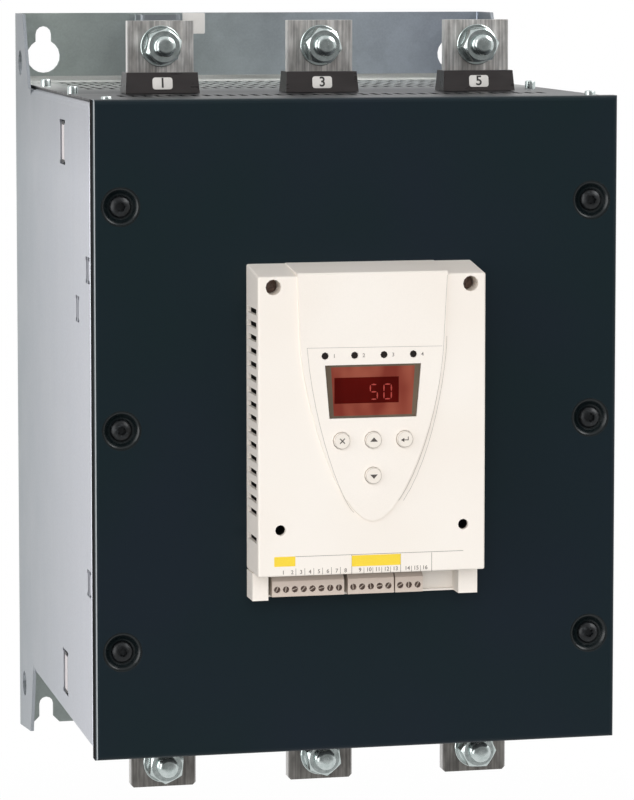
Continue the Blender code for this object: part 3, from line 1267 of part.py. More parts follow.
def build_display():
    """Filter window, indicator light pipe and the display module behind them."""
    front = SHIELD_FRONT + WINDOW_RECESS
    flange_front = CAVITY_FRONT + GAP
    flange_rear = flange_front + WINDOW_FLANGE_THICKNESS
    window = prism("display_window", [display_outline(-GAP)], "XZ", flange_rear, front, "display_filter")
    outline = [display_outline(WINDOW_FLANGE)]
    fuse(window, prism("window_flange", outline, "XZ", flange_rear + GAP, flange_front))
    centres = indicator_centres()
    low = centres[0][0] - INDICATOR_RADIUS
    high = centres[-1][0] + INDICATOR_RADIUS
    half = INDICATOR_BAR_HEIGHT / 2
    bar = rectangle(low, INDICATOR_Z - half + GAP, high, INDICATOR_Z + half)
    rear = flange_front + INDICATOR_BAR_THICKNESS
    pipe = prism("light_pipe", [bar], "XZ", rear, flange_front, "smoked_plastic")
    loops = [circle(centre, INDICATOR_RADIUS, SMALL_STEPS) for centre in centres]
    fuse(pipe, prism("light_pipe_tips", loops, "XZ", flange_front + GAP, SHIELD_FRONT))
    half = DISPLAY_BOARD_WIDTH / 2
    back = DISPLAY_BOARD_FRONT + BOARD_THICKNESS
    low = (-half, DISPLAY_BOARD_FRONT, DISPLAY_BOARD_BOTTOM)
    board = block("display_module", low, (half, back, DISPLAY_BOARD_TOP), "circuit_board")
    front = DISPLAY_BOARD_FRONT - DIGITS_THICKNESS
    low = (DIGITS_LEFT, front, DIGITS_BOTTOM)
    high = (DIGITS_RIGHT, DISPLAY_BOARD_FRONT + BOARD_THICKNESS / 2, DIGITS_TOP)
    fuse(board, block("display_digits", low, high))


def build_keys():
    """Push keys: a round cap, a flange that holds it behind the wall and a short stem."""
    face = SHIELD_FRONT - KEY_PROUD
    stem_end = DISPLAY_BOARD_FRONT - KEY_TRAVEL - GAP
    flange = KEY_FLANGE_FRONT
    length = flange - face
    stem = stem_end - face
    thick = KEY_FLANGE_THICKNESS
    profile = [
        (0.0, 0.0), (KEY_RADIUS - KEY_EDGE, 0.0), (KEY_RADIUS, -KEY_EDGE), (KEY_RADIUS, -length),
        (KEY_FLANGE_RADIUS, -length), (KEY_FLANGE_RADIUS, -length - thick),
        (KEY_STEM_RADIUS, -length - thick), (KEY_STEM_RADIUS, -stem), (0.0, -stem),
    ]
    name, x, z = KEY_PLACES[0]
    first = bake(turned(name, profile, (x, face, z), "front", "key_plastic", HOLE_STEPS))
    for name, x, z in KEY_PLACES[1:]:
        copy_to(first, name, (x, face, z))


def build_materials():
    make_material("galvanised_sheet", (0.33, 0.36, 0.38), 0.42, 0.9)
    make_material("galvanised_panel", (0.40, 0.42, 0.42), 0.40, 0.9)
    make_material("cover_paint", (0.013, 0.018, 0.024), 0.45, 0.0)
    make_material("ivory_plastic", (0.87, 0.82, 0.75), 0.5, 0.0)
    make_material("terminal_plastic", (0.62, 0.54, 0.50), 0.5, 0.0)
    make_material("black_plastic", (0.022, 0.019, 0.018), 0.5, 0.0)
    make_material("module_plastic", (0.035, 0.035, 0.037), 0.55, 0.0)
    make_material("contactor_plastic", (0.08, 0.08, 0.085), 0.6, 0.0)
    make_material("fan_plastic", (0.015, 0.015, 0.016), 0.5, 0.0)
    make_material("smoked_plastic", (0.012, 0.010, 0.010), 0.25, 0.0)
    make_material("display_filter", (0.19, 0.035, 0.025), 0.2, 0.0)
    make_material("circuit_board", (0.02, 0.12, 0.05), 0.5, 0.0)
    make_material("key_plastic", (0.85, 0.81, 0.75), 0.55, 0.0)
    make_material("tinned_copper", (0.30, 0.27, 0.24), 0.38, 0.9)
    make_material("zinc_steel", (0.36, 0.42, 0.42), 0.35, 1.0)
    make_material("extruded_aluminium", (0.55, 0.56, 0.57), 0.4, 1.0)


def main():
    clear_scene()
    make_collection("soft_starter")
    make_collection("cutters")
    build_materials()
    build_chassis()
    build_panels()
    build_front_cover()
    build_cover_screws()
    build_heat_sink()
    for index, x in enumerate((-FAN_X, FAN_X)):
        disc = build_fan_frame("fan_frame_%d" % (index + 1), x)
        build_fan_rotor("fan_rotor_%d" % (index + 1), x, disc)
    build_thyristor_modules()
    build_bypass_contactor()
    build_current_transformers()
    for label, side in (("line", 1), ("load", -1)):
        build_bars(label, side)
        build_holders(label, side)
    build_bolts()
    build_supports()
    build_driver_board()
    build_earth_terminal()
    build_control_cap()
    build_control_base()
    build_control_board()
    build_terminal_blocks()
    build_port_socket()
    build_display()
    build_keys()


main()
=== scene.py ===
import math

import bmesh
import bpy
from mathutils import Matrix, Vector


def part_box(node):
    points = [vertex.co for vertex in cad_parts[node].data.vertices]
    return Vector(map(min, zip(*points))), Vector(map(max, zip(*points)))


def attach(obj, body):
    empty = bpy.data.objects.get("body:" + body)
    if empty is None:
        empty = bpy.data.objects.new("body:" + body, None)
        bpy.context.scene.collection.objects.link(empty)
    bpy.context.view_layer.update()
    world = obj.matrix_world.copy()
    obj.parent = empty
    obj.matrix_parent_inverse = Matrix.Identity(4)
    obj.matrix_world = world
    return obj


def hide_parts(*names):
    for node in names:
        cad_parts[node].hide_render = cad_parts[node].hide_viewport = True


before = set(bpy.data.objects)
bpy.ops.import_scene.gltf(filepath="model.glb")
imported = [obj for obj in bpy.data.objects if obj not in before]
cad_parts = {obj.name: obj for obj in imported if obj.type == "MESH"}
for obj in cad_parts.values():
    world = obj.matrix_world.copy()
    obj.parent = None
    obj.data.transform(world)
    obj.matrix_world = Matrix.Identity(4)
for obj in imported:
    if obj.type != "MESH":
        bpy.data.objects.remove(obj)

bl_info = {
    "name": "Soft Starter Looks",
    "version": (1, 0, 0),
    "blender": (4, 5, 0),
    "location": "3D View > Sidebar > Soft Starter",
    "description": "Finishes, screws, printing and studio for the soft starter frame",
    "category": "Object",
}

FORWARD = Vector((0, -1, 0))
UPWARD = Vector((0, 0, 1))
FACING_FORWARD = (math.pi / 2, 0, 0)
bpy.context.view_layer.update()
COVER_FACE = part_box("front_cover")[0].y
SHIELD_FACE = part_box("control_cap")[0].y
MODULE_FACE = SHIELD_FACE + 0.0015
KEY_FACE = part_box("key_up")[0].y
WINDOW_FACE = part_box("display_window")[0].y
TERMINAL_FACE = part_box("terminal_block_relays")[0].y
TOP_FACE = 0.1838
BAR_X = (-0.095, 0.0, 0.095)
BOLT_Z = 0.2113
BAR_MIDDLE = -0.200
TERMINAL_PITCH = 0.00508
TERMINAL_RUNS = ((-0.05086, 8), (-0.00706, 5), (0.02014, 3))
TERMINAL_Z = -0.0902
# Panel screws: x, y and rise. The two nearest the cover are driven in further.
PANEL_SCREWS = (
    (-0.1431, -0.072, 0.0006), (-0.1452, -0.193, 0), (-0.1395, -0.279, -0.0028),
    (0.1405, -0.072, 0), (0.1372, -0.172, 0.0003), (0.1417, -0.281, -0.0018),
)
# Module screws: x, z and radius of the head.
MODULE_SCREWS = (
    (-0.0563, 0.0815, 0.0040), (0.0563, 0.0815, 0.0040),
    (-0.0524, -0.0540, 0.0027), (0.0524, -0.0540, 0.0027),
)
KEY_CENTRES = {
    "escape": (-0.018, -0.0046), "up": (0.0, -0.0046), "enter": (0.018, -0.0046), "down": (0.0, -0.0246),
}
# Yellow fields: left, right, lowest and highest.
YELLOW_FIELDS = ((-0.0560, -0.0440, -0.0743, -0.0688), (-0.0118, 0.0163, -0.0757, -0.0695))
FIRST_INDICATOR_X = -0.0274
INDICATOR_PITCH = 0.0168
PRINT_THICK = 0.00008
LINE_THICK = 0.00006
FINISHES = {}


def linear(code):
    """Turns an sRGB hex colour into the linear values that Blender works in."""
    shares = [int(code[start:start + 2], 16) / 255 for start in (1, 3, 5)]
    return tuple(s / 12.92 if s <= 0.04045 else ((s + 0.055) / 1.055) ** 2.4 for s in shares)


# Materials


def node(tree, kind, inputs=None, out=0, stops=None, **settings):
    """Adds a node with its settings, values and links, and gives the output that is asked for."""
    made = tree.nodes.new(kind)
    for name, value in settings.items():
        setattr(made, name, value)
    for place, colour in stops or ():
        made.color_ramp.elements.new(place).color = (*linear(colour), 1)
    if stops:
        made.color_ramp.elements.remove(made.color_ramp.elements[0])
        made.color_ramp.elements.remove(made.color_ramp.elements[-1])
    for name, value in (inputs or {}).items():
        if isinstance(value, bpy.types.NodeSocket):
            tree.links.new(value, made.inputs[name])
        elif isinstance(value, str):
            made.inputs[name].default_value = (*linear(value), 1)
        else:
            made.inputs[name].default_value = value
    return made if out is None else made.outputs[out]


def open_tree(owner):
    """Empties the node tree of a material or a world."""
    owner.use_nodes = True
    owner.node_tree.nodes.clear()
    return owner.node_tree


def open_finish(name):
    """Starts an empty material, and gives its tree and the place of a point on the piece."""
    made = bpy.data.materials.new(name)
    tree = open_tree(made)
    FINISHES[name] = made
    return tree, node(tree, "ShaderNodeTexCoord", out="Object")


def close_finish(tree, colour, roughness, height=None, relief=0.0, **shader):
    """Ends a material: a shader with its colour, roughness, surface relief in metres and other values."""
    values = {"Base Color": colour, "Roughness": roughness}
    if height is not None:
        values["Normal"] = node(tree, "ShaderNodeBump", {"Height": height, "Distance": relief})
    for name, value in shader.items():
        values[name.replace("_", " ")] = value
    surface = node(tree, "ShaderNodeBsdfPrincipled", values)
    node(tree, "ShaderNodeOutputMaterial", {"Surface": surface}, out=None)


def grain(tree, place, size, stretch=(1, 1, 1), detail=3.0):
    """Cloudy pattern whose spots are about size metres wide, longer where stretch is below one."""
    scaled = node(tree, "ShaderNodeMapping", {"Vector": place, "Scale": tuple(s / size for s in stretch)})
    return node(tree, "ShaderNodeTexNoise", {"Vector": scaled, "Scale": 1.0, "Detail": detail})


def between(tree, value, low, high, lowest=0.3, highest=0.7):
    """Spreads a pattern's middle range over low to high."""
    inputs = {"Value": value, "From Min": lowest, "From Max": highest, "To Min": low, "To Max": high}
    return node(tree, "ShaderNodeMapRange", inputs)


def shade(tree, colour, value, low, high, lowest=0.3, highest=0.7):
    """Multiplies a colour by a pattern that runs from low to high."""
    factor = between(tree, value, low, high, lowest, highest)
    inputs = {0: 1.0, 6: colour, 7: factor}
    return node(tree, "ShaderNodeMix", inputs, out=2, data_type="RGBA", blend_type="MULTIPLY")


def mixed(tree, share, first, second):
    """Blends two colours by a share from 0 to 1."""
    inputs = {0: share, 6: first, 7: second}
    return node(tree, "ShaderNodeMix", inputs, out=2, data_type="RGBA")


def inside_box(tree, place, ranges):
    """Gives 1 where the place lies within (axis, low, high) ranges, and 0 elsewhere."""
    axes = node(tree, "ShaderNodeSeparateXYZ", {0: place}, out=None)
    mask = None
    for axis, low, high in ranges:
        for test, limit in (("GREATER_THAN", low), ("LESS_THAN", high)):
            passed = node(tree, "ShaderNodeMath", {0: axes.outputs[axis], 1: limit}, operation=test)
            if mask is not None:
                passed = node(tree, "ShaderNodeMath", {0: mask, 1: passed}, operation="MULTIPLY")
            mask = passed
    return mask


def seen_by(tree, kinds):
    """Gives 1 for rays of the named kinds, and 0 for the light that falls on the object."""
    path = node(tree, "ShaderNodeLightPath", out=None)
    seen = path.outputs[f"Is {kinds[0]} Ray"]
    for kind in kinds[1:]:
        seen = node(tree, "ShaderNodeMath", {0: seen, 1: path.outputs[f"Is {kind} Ray"]}, operation="MAXIMUM")
    return seen


def galvanised_sheet():
    """Hot-dip galvanised steel sheet: grey and satin, with spangles whose edges the melt has blurred."""
    tree, place = open_finish("hot_dip_galvanised_steel")
    axes = node(tree, "ShaderNodeSeparateXYZ", {0: place}, out=None)
    x, y = axes.outputs["X"], axes.outputs["Y"]
    back = between(tree, y, 0, 1, -0.006, -0.003)
    # Zinc spangles are 6 to 12 mm across.
    inputs = {0: grain(tree, place, 0.006), 1: (0.008, 0.008, 0.008), 2: place}
    bent = node(tree, "ShaderNodeVectorMath", inputs, operation="MULTIPLY_ADD")
    inputs = {"Vector": bent, "Scale": 110.0, "Smoothness": 0.8}
    crystal = node(tree, "ShaderNodeTexVoronoi", inputs, out="Color", feature="SMOOTH_F1")
    cloud = grain(tree, place, 0.035)
    fine = grain(tree, place, 0.0012)
    streak = grain(tree, place, 0.006, (1, 1, 0.03))
    # Painted shade: the side walls are painted darker towards the wall that the box hangs on.
    depth = between(tree, y, 0, 1, -0.29, 0.0)
    front = mixed(tree, depth, "#c6c8cf", "#989ea3")
    front = shade(tree, shade(tree, front, streak, 0.985, 1.01), cloud, 0.97, 1.02)
    # Under the top edge the wall is in the shade of the flange.
    front = shade(tree, front, axes.outputs["Z"], 1.0, 0.76, 0.135, 0.182)
    across = between(tree, x, 0, 1, -0.12, 0.12)
    rear = mixed(tree, across, "#a7b0ad", "#a5adb8")
    rear = shade(tree, shade(tree, rear, crystal, 0.95, 1.04), cloud, 0.93, 1.05)
    colour = mixed(tree, back, front, rear)
    colour = shade(tree, colour, fine, 0.95, 1.04)
    close_finish(tree, colour, between(tree, cloud, 0.42, 0.52), fine, 0.00001, Metallic=0.85)


def galvanised_panel():
    """Pressed galvanised sheet of the slotted panels, with lines along the rolling."""
    tree, place = open_finish("bright_galvanised_steel")
    axes = node(tree, "ShaderNodeSeparateXYZ", {0: place}, out=None)
    # Painted shade: the panel is painted dark near the cover and pale towards the back.
    depth = between(tree, axes.outputs["Y"], 0, 1, -0.17, -0.02)
    sheet = mixed(tree, depth, "#444547", "#d2d4d1")
    # The punched walls of the slots see only the dark inside of the box.
    punched = inside_box(tree, place, (("Z", -0.1835, 0.1835),))
    sheet = mixed(tree, punched, sheet, "#141517")
    streak = grain(tree, place, 0.003, (0.05, 1, 1))
    fine = grain(tree, place, 0.001)
    colour = shade(tree, shade(tree, sheet, streak, 0.88, 1.06), fine, 0.95, 1.04)
    close_finish(tree, colour, between(tree, streak, 0.34, 0.48), fine, 0.00001, Metallic=0.9)


def cover_paint():
    """Baked polyester powder coat: satin, blue-black, with a fine orange peel."""
    tree, place = open_finish("satin_powder_coat")
    peel = grain(tree, place, 0.0014)
    cloud = grain(tree, place, 0.09, detail=1.0)
    tint = mixed(tree, between(tree, cloud, 0, 1), "#122024", "#151f27")
    # Painted highlight: the left fold is painted pale for the light that it catches, and the flange behind it
    # lies in the gap.
    fold_highlight = inside_box(tree, place, (("X", -0.1509, -0.1503),))
    tint = mixed(tree, fold_highlight, tint, "#a6abae")
    # Painted shade: the flange in the gap behind the fold is painted near black and made fully rough.
    gap_shade = inside_box(tree, place, (("X", -1.0, -0.15135),))
    tint = mixed(tree, gap_shade, tint, "#050607")
    colour = shade(tree, tint, peel, 0.97, 1.03)
    roughness = between(tree, peel, 0.34, 0.40)
    roughness = node(tree, "ShaderNodeMath", {0: roughness, 1: gap_shade}, operation="MAXIMUM")
    close_finish(tree, colour, roughness, peel, 0.000004, Specular_IOR_Level=0.15)


def dimple_paint():
    """The same powder coat where the press has drawn it smooth: glossier, without the orange peel, and
    painted darker for the shade in the dish.
    """
    tree, place = open_finish("pressed_powder_coat")
    cloud = grain(tree, place, 0.006, detail=1.0)
    colour = shade(tree, "#0d1416", cloud, 0.94, 1.06)
    close_finish(tree, colour, between(tree, cloud, 0.24, 0.30), cloud, 0.000002, Specular_IOR_Level=0.35)


def ivory_plastic():
    """Moulded ivory polycarbonate and ABS: matt, with the fine spark texture of the mould."""
    tree, place = open_finish("moulded_ivory_plastic")
    spark = grain(tree, place, 0.0006)
    cloud = grain(tree, place, 0.05, detail=1.0)
    tint = mixed(tree, between(tree, cloud, 0, 1), "#f5ede4", "#f7f0e8")
    colour = shade(tree, tint, spark, 0.985, 1.01)
    # No light gets through the vents into the housing.
    ranges = (("X", -0.0630, 0.0630), ("Y", MODULE_FACE + 0.0030, 0.0), ("Z", -0.0790, 0.0765))
    colour = mixed(tree, inside_box(tree, place, ranges), colour, "#1c1a19")
    close_finish(tree, colour, between(tree, spark, 0.50, 0.60), spark, 0.000006, Specular_IOR_Level=0.4)


def black_plastic():
    """Glass-filled polyester of the bar holders: brown-black with a soft gloss."""
    tree, place = open_finish("moulded_black_polyester")
    flow = grain(tree, place, 0.004, (0.3, 1, 1))
    fine = grain(tree, place, 0.0006)
    colour = shade(tree, "#2b2727", flow, 0.85, 1.12)
    close_finish(tree, colour, between(tree, flow, 0.26, 0.36), fine, 0.000006)


def fan_plastic():
    """Glass-filled nylon of fans, modules and sensors: matt black with pale fibre flecks."""
    tree, place = open_finish("glass_filled_nylon")
    fleck = grain(tree, place, 0.0008, (1, 0.3, 1))
    stops = [(0.45, "#1c1d1e"), (0.62, "#27282a"), (0.75, "#3a3b3d")]
    colour = node(tree, "ShaderNodeValToRGB", {0: fleck}, stops=stops)
    close_finish(tree, colour, between(tree, fleck, 0.48, 0.60), fleck, 0.000015)


def display_filter():
    """Red acrylic display filter: a grey-brown bezel, the printed red field and the dark digit area."""
    tree, place = open_finish("red_display_filter")
    axes = node(tree, "ShaderNodeSeparateXYZ", {0: place}, out=None)
    x, z = axes.outputs["X"], axes.outputs["Z"]
    sideways = node(tree, "ShaderNodeMath", {0: x}, operation="ABSOLUTE")
    half = between(tree, z, 0.0222, 0.0240, 0.0078, 0.0376)
    cloud = grain(tree, place, 0.010, (1, 1, 0.5), 1.0)
    field = mixed(tree, between(tree, cloud, 0, 1), "#7c3429", "#98503f")
    bezel = shade(tree, "#685b4d", cloud, 0.85, 1.1)
    within = node(tree, "ShaderNodeMath", {0: sideways, 1: half}, operation="LESS_THAN")
    level = inside_box(tree, place, (("Z", 0.0092, 0.0364),))
    within = node(tree, "ShaderNodeMath", {0: within, 1: level}, operation="MULTIPLY")
    digits = inside_box(tree, place, (("X", -0.0220, 0.0148), ("Z", 0.0160, 0.0305)))
    colour = mixed(tree, within, bezel, field)
    dark = shade(tree, "#4f0501", cloud, 0.8, 1.15)
    colour = mixed(tree, digits, colour, dark)
    close_finish(tree, colour, between(tree, cloud, 0.16, 0.24), Specular_IOR_Level=0.12)


def circuit_board():
    """Fibreglass circuit board: green solder mask over the pale rows of its tracks."""
    tree, place = open_finish("green_circuit_board")
    upright = node(tree, "ShaderNodeMapping", {"Vector": place, "Rotation": FACING_FORWARD})
    inputs = {"Vector": upright, "Color1": "#1f5a39", "Color2": "#1a4d31", "Mortar": "#3c8257"}
    inputs.update({"Scale": 1.0, "Brick Width": 0.012, "Row Height": 0.0025, "Mortar Size": 0.0003})
    tracks = node(tree, "ShaderNodeTexBrick", inputs)
    fine = grain(tree, place, 0.001)
    colour = shade(tree, tracks, fine, 0.92, 1.06)
    close_finish(tree, colour, between(tree, fine, 0.28, 0.38), fine, 0.00001)


def tinned_copper():
    """Tinned copper bar: brushed along its length, with cloudy tin, dark rub marks and painted highlights on
    its edges.
    """
    tree, place = open_finish("brushed_tinned_copper")
    axes = node(tree, "ShaderNodeSeparateXYZ", {0: place}, out=None)
    brushed = grain(tree, place, 0.0012, (1, 1, 0.03))
    cloud = grain(tree, place, 0.008, (1, 1, 0.4))
    marks = grain(tree, place, 0.004, (1, 1, 0.35), 6.0)
    tint = mixed(tree, between(tree, cloud, 0, 1), "#d9d5d1", "#f7f5f3")
    # The load bars hang in the shade under the box.
    tint = mixed(tree, between(tree, axes.outputs["Z"], 0, 1, -0.01, 0.01), "#96938f", tint)
    colour = shade(tree, shade(tree, tint, brushed, 0.62, 1.2), marks, 0.6, 1.1)
    # Painted highlight: the rounded edges, beyond half the 40 mm width less the rounded edge from the middle
    # of each bar, are painted nearly white.
    wrapped = node(tree, "ShaderNodeMath", {0: axes.outputs["X"], 1: 0.0475, 2: -0.0475}, operation="WRAP")
    aside = node(tree, "ShaderNodeMath", {0: wrapped}, operation="ABSOLUTE")
    edge = between(tree, aside, 0, 0.6, 0.0186, 0.0192)
    colour = mixed(tree, edge, colour, "#f2f0ee")
    close_finish(tree, colour, between(tree, cloud, 0.38, 0.52), brushed, 0.00002, Metallic=1.0)


def sheared_steel():
    """Crossbar ends in the side slots: the faintly pink sheared edge of the sheet, painted brighter still for
    the highlight that its bend catches.
    """
    tree, place = open_finish("sheared_steel_edge")
    shear = grain(tree, place, 0.0008, (1, 0.2, 1))
    colour = shade(tree, "#e6dfe0", shear, 0.9, 1.04)
    # The corner reliefs at both ends of each tab are in the dark.
    upper = inside_box(tree, place, (("Z", 0.1459, 0.1661),))
    lower = inside_box(tree, place, (("Z", -0.1661, -0.1459),))
    tab = node(tree, "ShaderNodeMath", {0: upper, 1: lower}, operation="ADD")
    colour = mixed(tree, tab, "#1b1c1d", colour)
    close_finish(tree, colour, between(tree, shear, 0.45, 0.6), shear, 0.00001, Metallic=0.35)


def zinc_steel():
    """Zinc-plated steel fasteners: bright, faintly blue-green from the passivation."""
    tree, place = open_finish("bright_zinc_plated_steel")
    cloud = grain(tree, place, 0.003)
    tint = mixed(tree, between(tree, cloud, 0, 1), "#b4bfbd", "#ccd4d3")
    close_finish(tree, tint, between(tree, cloud, 0.14, 0.24), cloud, 0.000003, Metallic=1.0)


def dark_steel():
    """Black-oxide steel screws: dark, oiled, with worn grey where the driver touches."""
    tree, place = open_finish("black_oxide_steel")
    wear = grain(tree, place, 0.0015)
    stops = [(0.4, "#0c0e10"), (0.62, "#16191c"), (0.75, "#393c3f")]
    colour = node(tree, "ShaderNodeValToRGB", {0: wear}, stops=stops)
    close_finish(tree, colour, between(tree, wear, 0.30, 0.45), wear, 0.00001, Metallic=0.4)


def plain_finish(name, colour, spots, shades, gloss, relief, stretch=(1, 1, 1), **shader):
    """One colour with one fine pattern in its shade, gloss and relief."""
    tree, place = open_finish(name)
    fine = grain(tree, place, spots, stretch)
    colour = shade(tree, colour, fine, *shades)
    close_finish(tree, colour, between(tree, fine, *gloss), fine, relief, **shader)


def plain_finishes():
    """The finishes whose real surface is one even colour with one fine texture."""
    # Ivory silicone-smooth key tops: a little greyer and smoother than the housing.
    plain_finish("moulded_key_plastic", "#f1e9df", 0.0004, (0.98, 1.01), (0.36, 0.44), 0.000004)
    # Moulded polyamide terminal blocks: warm pale pink-grey, slightly waxy.
    plain_finish("moulded_polyamide", "#d2c3b8", 0.0005, (0.97, 1.03), (0.36, 0.46), 0.000006)
    # Thermoset contactor housing: dark grey, dull, with a sandy skin.
    plain_finish("thermoset_housing", "#46494c", 0.0009, (0.9, 1.08), (0.55, 0.66), 0.00002)
    # Smoked acrylic light pipe: nearly black and polished where its ends come through.
    plain_finish("smoked_acrylic", "#1d1614", 0.0008, (0.9, 1.1), (0.12, 0.2), 0.000002)
    # Clamp screws sunk in the terminals: dull brown-grey plated steel.
    steel = ((0.75, 1.25), (0.35, 0.5), 0.00001)
    plain_finish("dull_clamp_screw_steel", "#6b5a53", 0.0008, *steel, Metallic=0.7)
    # Extruded aluminium heat sink: pale, with die lines along the fins.
    die = ((0.88, 1.05), (0.3, 0.42), 0.00002, (1, 1, 0.02))
    plain_finish("extruded_aluminium", "#c9cbcd", 0.0012, *die, Metallic=1.0)
    # Screen-printed inks and label faces: even, with a faint mottle where the ink is thin.
    ink = (0.0007, (0.95, 1.025), (0.45, 0.55), 0.000003)
    prints = {
        "white_label_face": "#dcd9d5", "black_print": "#2b2928", "grey_print": "#7c756f",
        "pale_grey_print": "#b5afa8", "dark_grey_print": "#544e4a",
    }
    for name, colour in prints.items():
        plain_finish(name, colour, *ink)
    # Painted highlight: pale slot faces for the glint of light in each screw slot.
    plain_finish("screw_slot_highlight", "#cdbfb2", 0.0007, (0.8, 1.1), (0.4, 0.5), 0.000003)


# Modelling


def deselect():
    """Back to object mode with nothing selected."""
    if bpy.context.object and bpy.context.object.mode != "OBJECT":
        bpy.ops.object.mode_set(mode="OBJECT")
    bpy.ops.object.select_all(action="DESELECT")


def begin(name, add, **settings):
    """Adds a primitive at its place with nothing else selected, and opens it for editing."""
    deselect()
    add(**settings)
    piece = bpy.context.object
    piece.name = name
    piece.data.name = name
    bpy.ops.object.transform_apply(location=True, rotation=True, scale=True)
    bpy.ops.object.mode_set(mode="EDIT")
    return piece


def prism(name, corners, radius, depth, spot, turn=0.0):
    """Opens a bar of so many sides, which faces forward, for editing."""
    add = bpy.ops.mesh.primitive_cylinder_add
    facing = (math.pi / 2, turn, 0)
    return begin(name, add, vertices=corners, radius=radius, depth=depth, location=spot, rotation=facing)


def pick(piece, kind, test):
    """Selects what passes the test, of the faces, edges or corners of the piece being edited."""
    bpy.ops.mesh.select_mode(type=kind)
    bpy.ops.mesh.select_all(action="DESELECT")
    mesh = bmesh.from_edit_mesh(piece.data)
    parts = {"FACE": mesh.faces, "EDGE": mesh.edges, "VERT": mesh.verts}[kind]
    for part in parts:
        if test(part):
            part.select_set(True)
    bmesh.update_edit_mesh(piece.data)


def runs_along(edge, direction):
    """True for an edge that lies along the direction."""
    line = (edge.verts[1].co - edge.verts[0].co).normalized()
    return abs(line.dot(direction)) > 0.98


def end(piece, angle=30, merge=1e-6):
    """Ends the shaping: doubles merged, faces outwards, smooth up to the angle."""
    if bpy.context.object.mode != "EDIT":
        bpy.ops.object.mode_set(mode="EDIT")
    bpy.ops.mesh.select_all(action="SELECT")
    bpy.ops.mesh.remove_doubles(threshold=merge)
    bpy.ops.mesh.normals_make_consistent(inside=False)
    bpy.ops.object.mode_set(mode="OBJECT")
    bpy.ops.object.shade_smooth_by_angle(angle=math.radians(angle))
    return piece


def turned(name, centre, stations, sides=40, upward=False):
    """Turned piece: a disc extruded through (radius, height) stations away from its seat."""
    direction = UPWARD if upward else FORWARD
    radius, height = stations[0]
    add = bpy.ops.mesh.primitive_circle_add
    disc = {"vertices": sides, "radius": radius, "fill_type": "NGON"}
    disc["rotation"] = (0, 0, 0) if upward else FACING_FORWARD
    piece = begin(name, add, location=centre + direction * height, **disc)
    for wider, higher in stations[1:]:
        step = direction * (higher - height)
        bpy.ops.mesh.extrude_region_move(TRANSFORM_OT_translate={"value": tuple(step)})
        spot = centre + direction * higher
        share = wider / radius
        bpy.ops.transform.resize(value=(share, share, share), center_override=tuple(spot))
        radius, height = wider, higher
    return end(piece)


def cut(piece, tool, operation="DIFFERENCE"):
    """Cuts the piece by a tool body, which is then removed."""
    deselect()
    piece.select_set(True)
    bpy.context.view_layer.objects.active = piece
    modifier = piece.modifiers.new("cut", "BOOLEAN")
    modifier.operation = operation
    modifier.object = tool
    modifier.solver = "EXACT"
    bpy.ops.object.modifier_apply(modifier=modifier.name)
    bpy.data.objects.remove(tool, do_unlink=True)
    return end(piece)


def block(name, centre, size, tilt=0.0, corner=0.0, edge=0.0, turn=0.0):
    """Small plate facing forward, with rounded corners and a softened front edge."""
    add = bpy.ops.mesh.primitive_cube_add
    piece = begin(name, add, size=1, location=centre, scale=size, rotation=(tilt, turn, 0))
    across = Vector((0, math.cos(tilt), math.sin(tilt)))
    if corner:
        pick(piece, "EDGE", lambda part: runs_along(part, across))
        bpy.ops.mesh.bevel(offset=corner, segments=4, affect="EDGES")
    if edge:
        pick(piece, "FACE", lambda part: part.normal.dot(across) < -0.9)
        bpy.ops.mesh.bevel(offset=edge, segments=2, affect="EDGES")
    return end(piece)


def written(name, text, spot, size, tilt=0.0, bold=0.0):
    """Plain figures, made a mesh before their place is applied."""
    deselect()
    bpy.ops.object.text_add(location=spot, rotation=(math.pi / 2 + tilt, 0, 0))
    piece = bpy.context.object
    piece.name = name
    piece.data.body = text
    piece.data.size = size
    piece.data.extrude = PRINT_THICK / 2
    piece.data.offset = bold
    piece.data.align_x = "CENTER"
    piece.data.align_y = "CENTER"
    bpy.ops.object.convert(target="MESH")
    bpy.ops.object.transform_apply(location=True, rotation=True, scale=True)
    piece.data.name = name
    return end(piece, merge=1e-7)


def copied(piece, name, shift, turn=0.0, centre=None):
    """Copy with its own mesh, moved and turned about a forward axis through the centre."""
    deselect()
    piece.select_set(True)
    bpy.context.view_layer.objects.active = piece
    bpy.ops.object.duplicate(linked=False)
    twin = bpy.context.object
    twin.name = name
    twin.data.name = name
    bpy.ops.object.mode_set(mode="EDIT")
    bpy.ops.mesh.select_all(action="SELECT")
    if turn:
        bpy.ops.transform.rotate(value=turn, orient_axis="Y", center_override=tuple(centre))
    bpy.ops.transform.translate(value=tuple(shift))
    bpy.ops.object.mode_set(mode="OBJECT")
    return twin


def joined(name, pieces):
    """Joins finished pieces into one object."""
    deselect()
    for piece in pieces:
        piece.select_set(True)
    bpy.context.view_layer.objects.active = pieces[0]
    bpy.ops.object.join()
    whole = bpy.context.object
    whole.name = name
    whole.data.name = name
    return whole


def hand_over(piece, finish, body="enclosure", replaces=()):
    """Gives a piece its finish, parents it to the body that it rides on, and hides the CAD parts that it
    stands for.
    """
    piece.data.materials.clear()
    piece.data.materials.append(FINISHES[finish])
    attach(piece, body)
    if replaces:
        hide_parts(*replaces)


def sweep(start, near, far, finish, steps=12):
    """Points of a cubic curve from its two ends and the two points that pull it."""
    points = []
    for step in range(steps + 1):
        t = step / steps
        shares = ((1 - t) ** 3, 3 * t * (1 - t) ** 2, 3 * t * t * (1 - t), t ** 3)
        pulls = list(zip(shares, (start, near, far, finish)))
        points.append(tuple(sum(share * pull[axis] for share, pull in pulls) for axis in (0, 1)))
    return points


def terminal_places():
    """Gives the x of each control terminal, from the left."""
    return [start + column * TERMINAL_PITCH for start, count in TERMINAL_RUNS for column in range(count)]


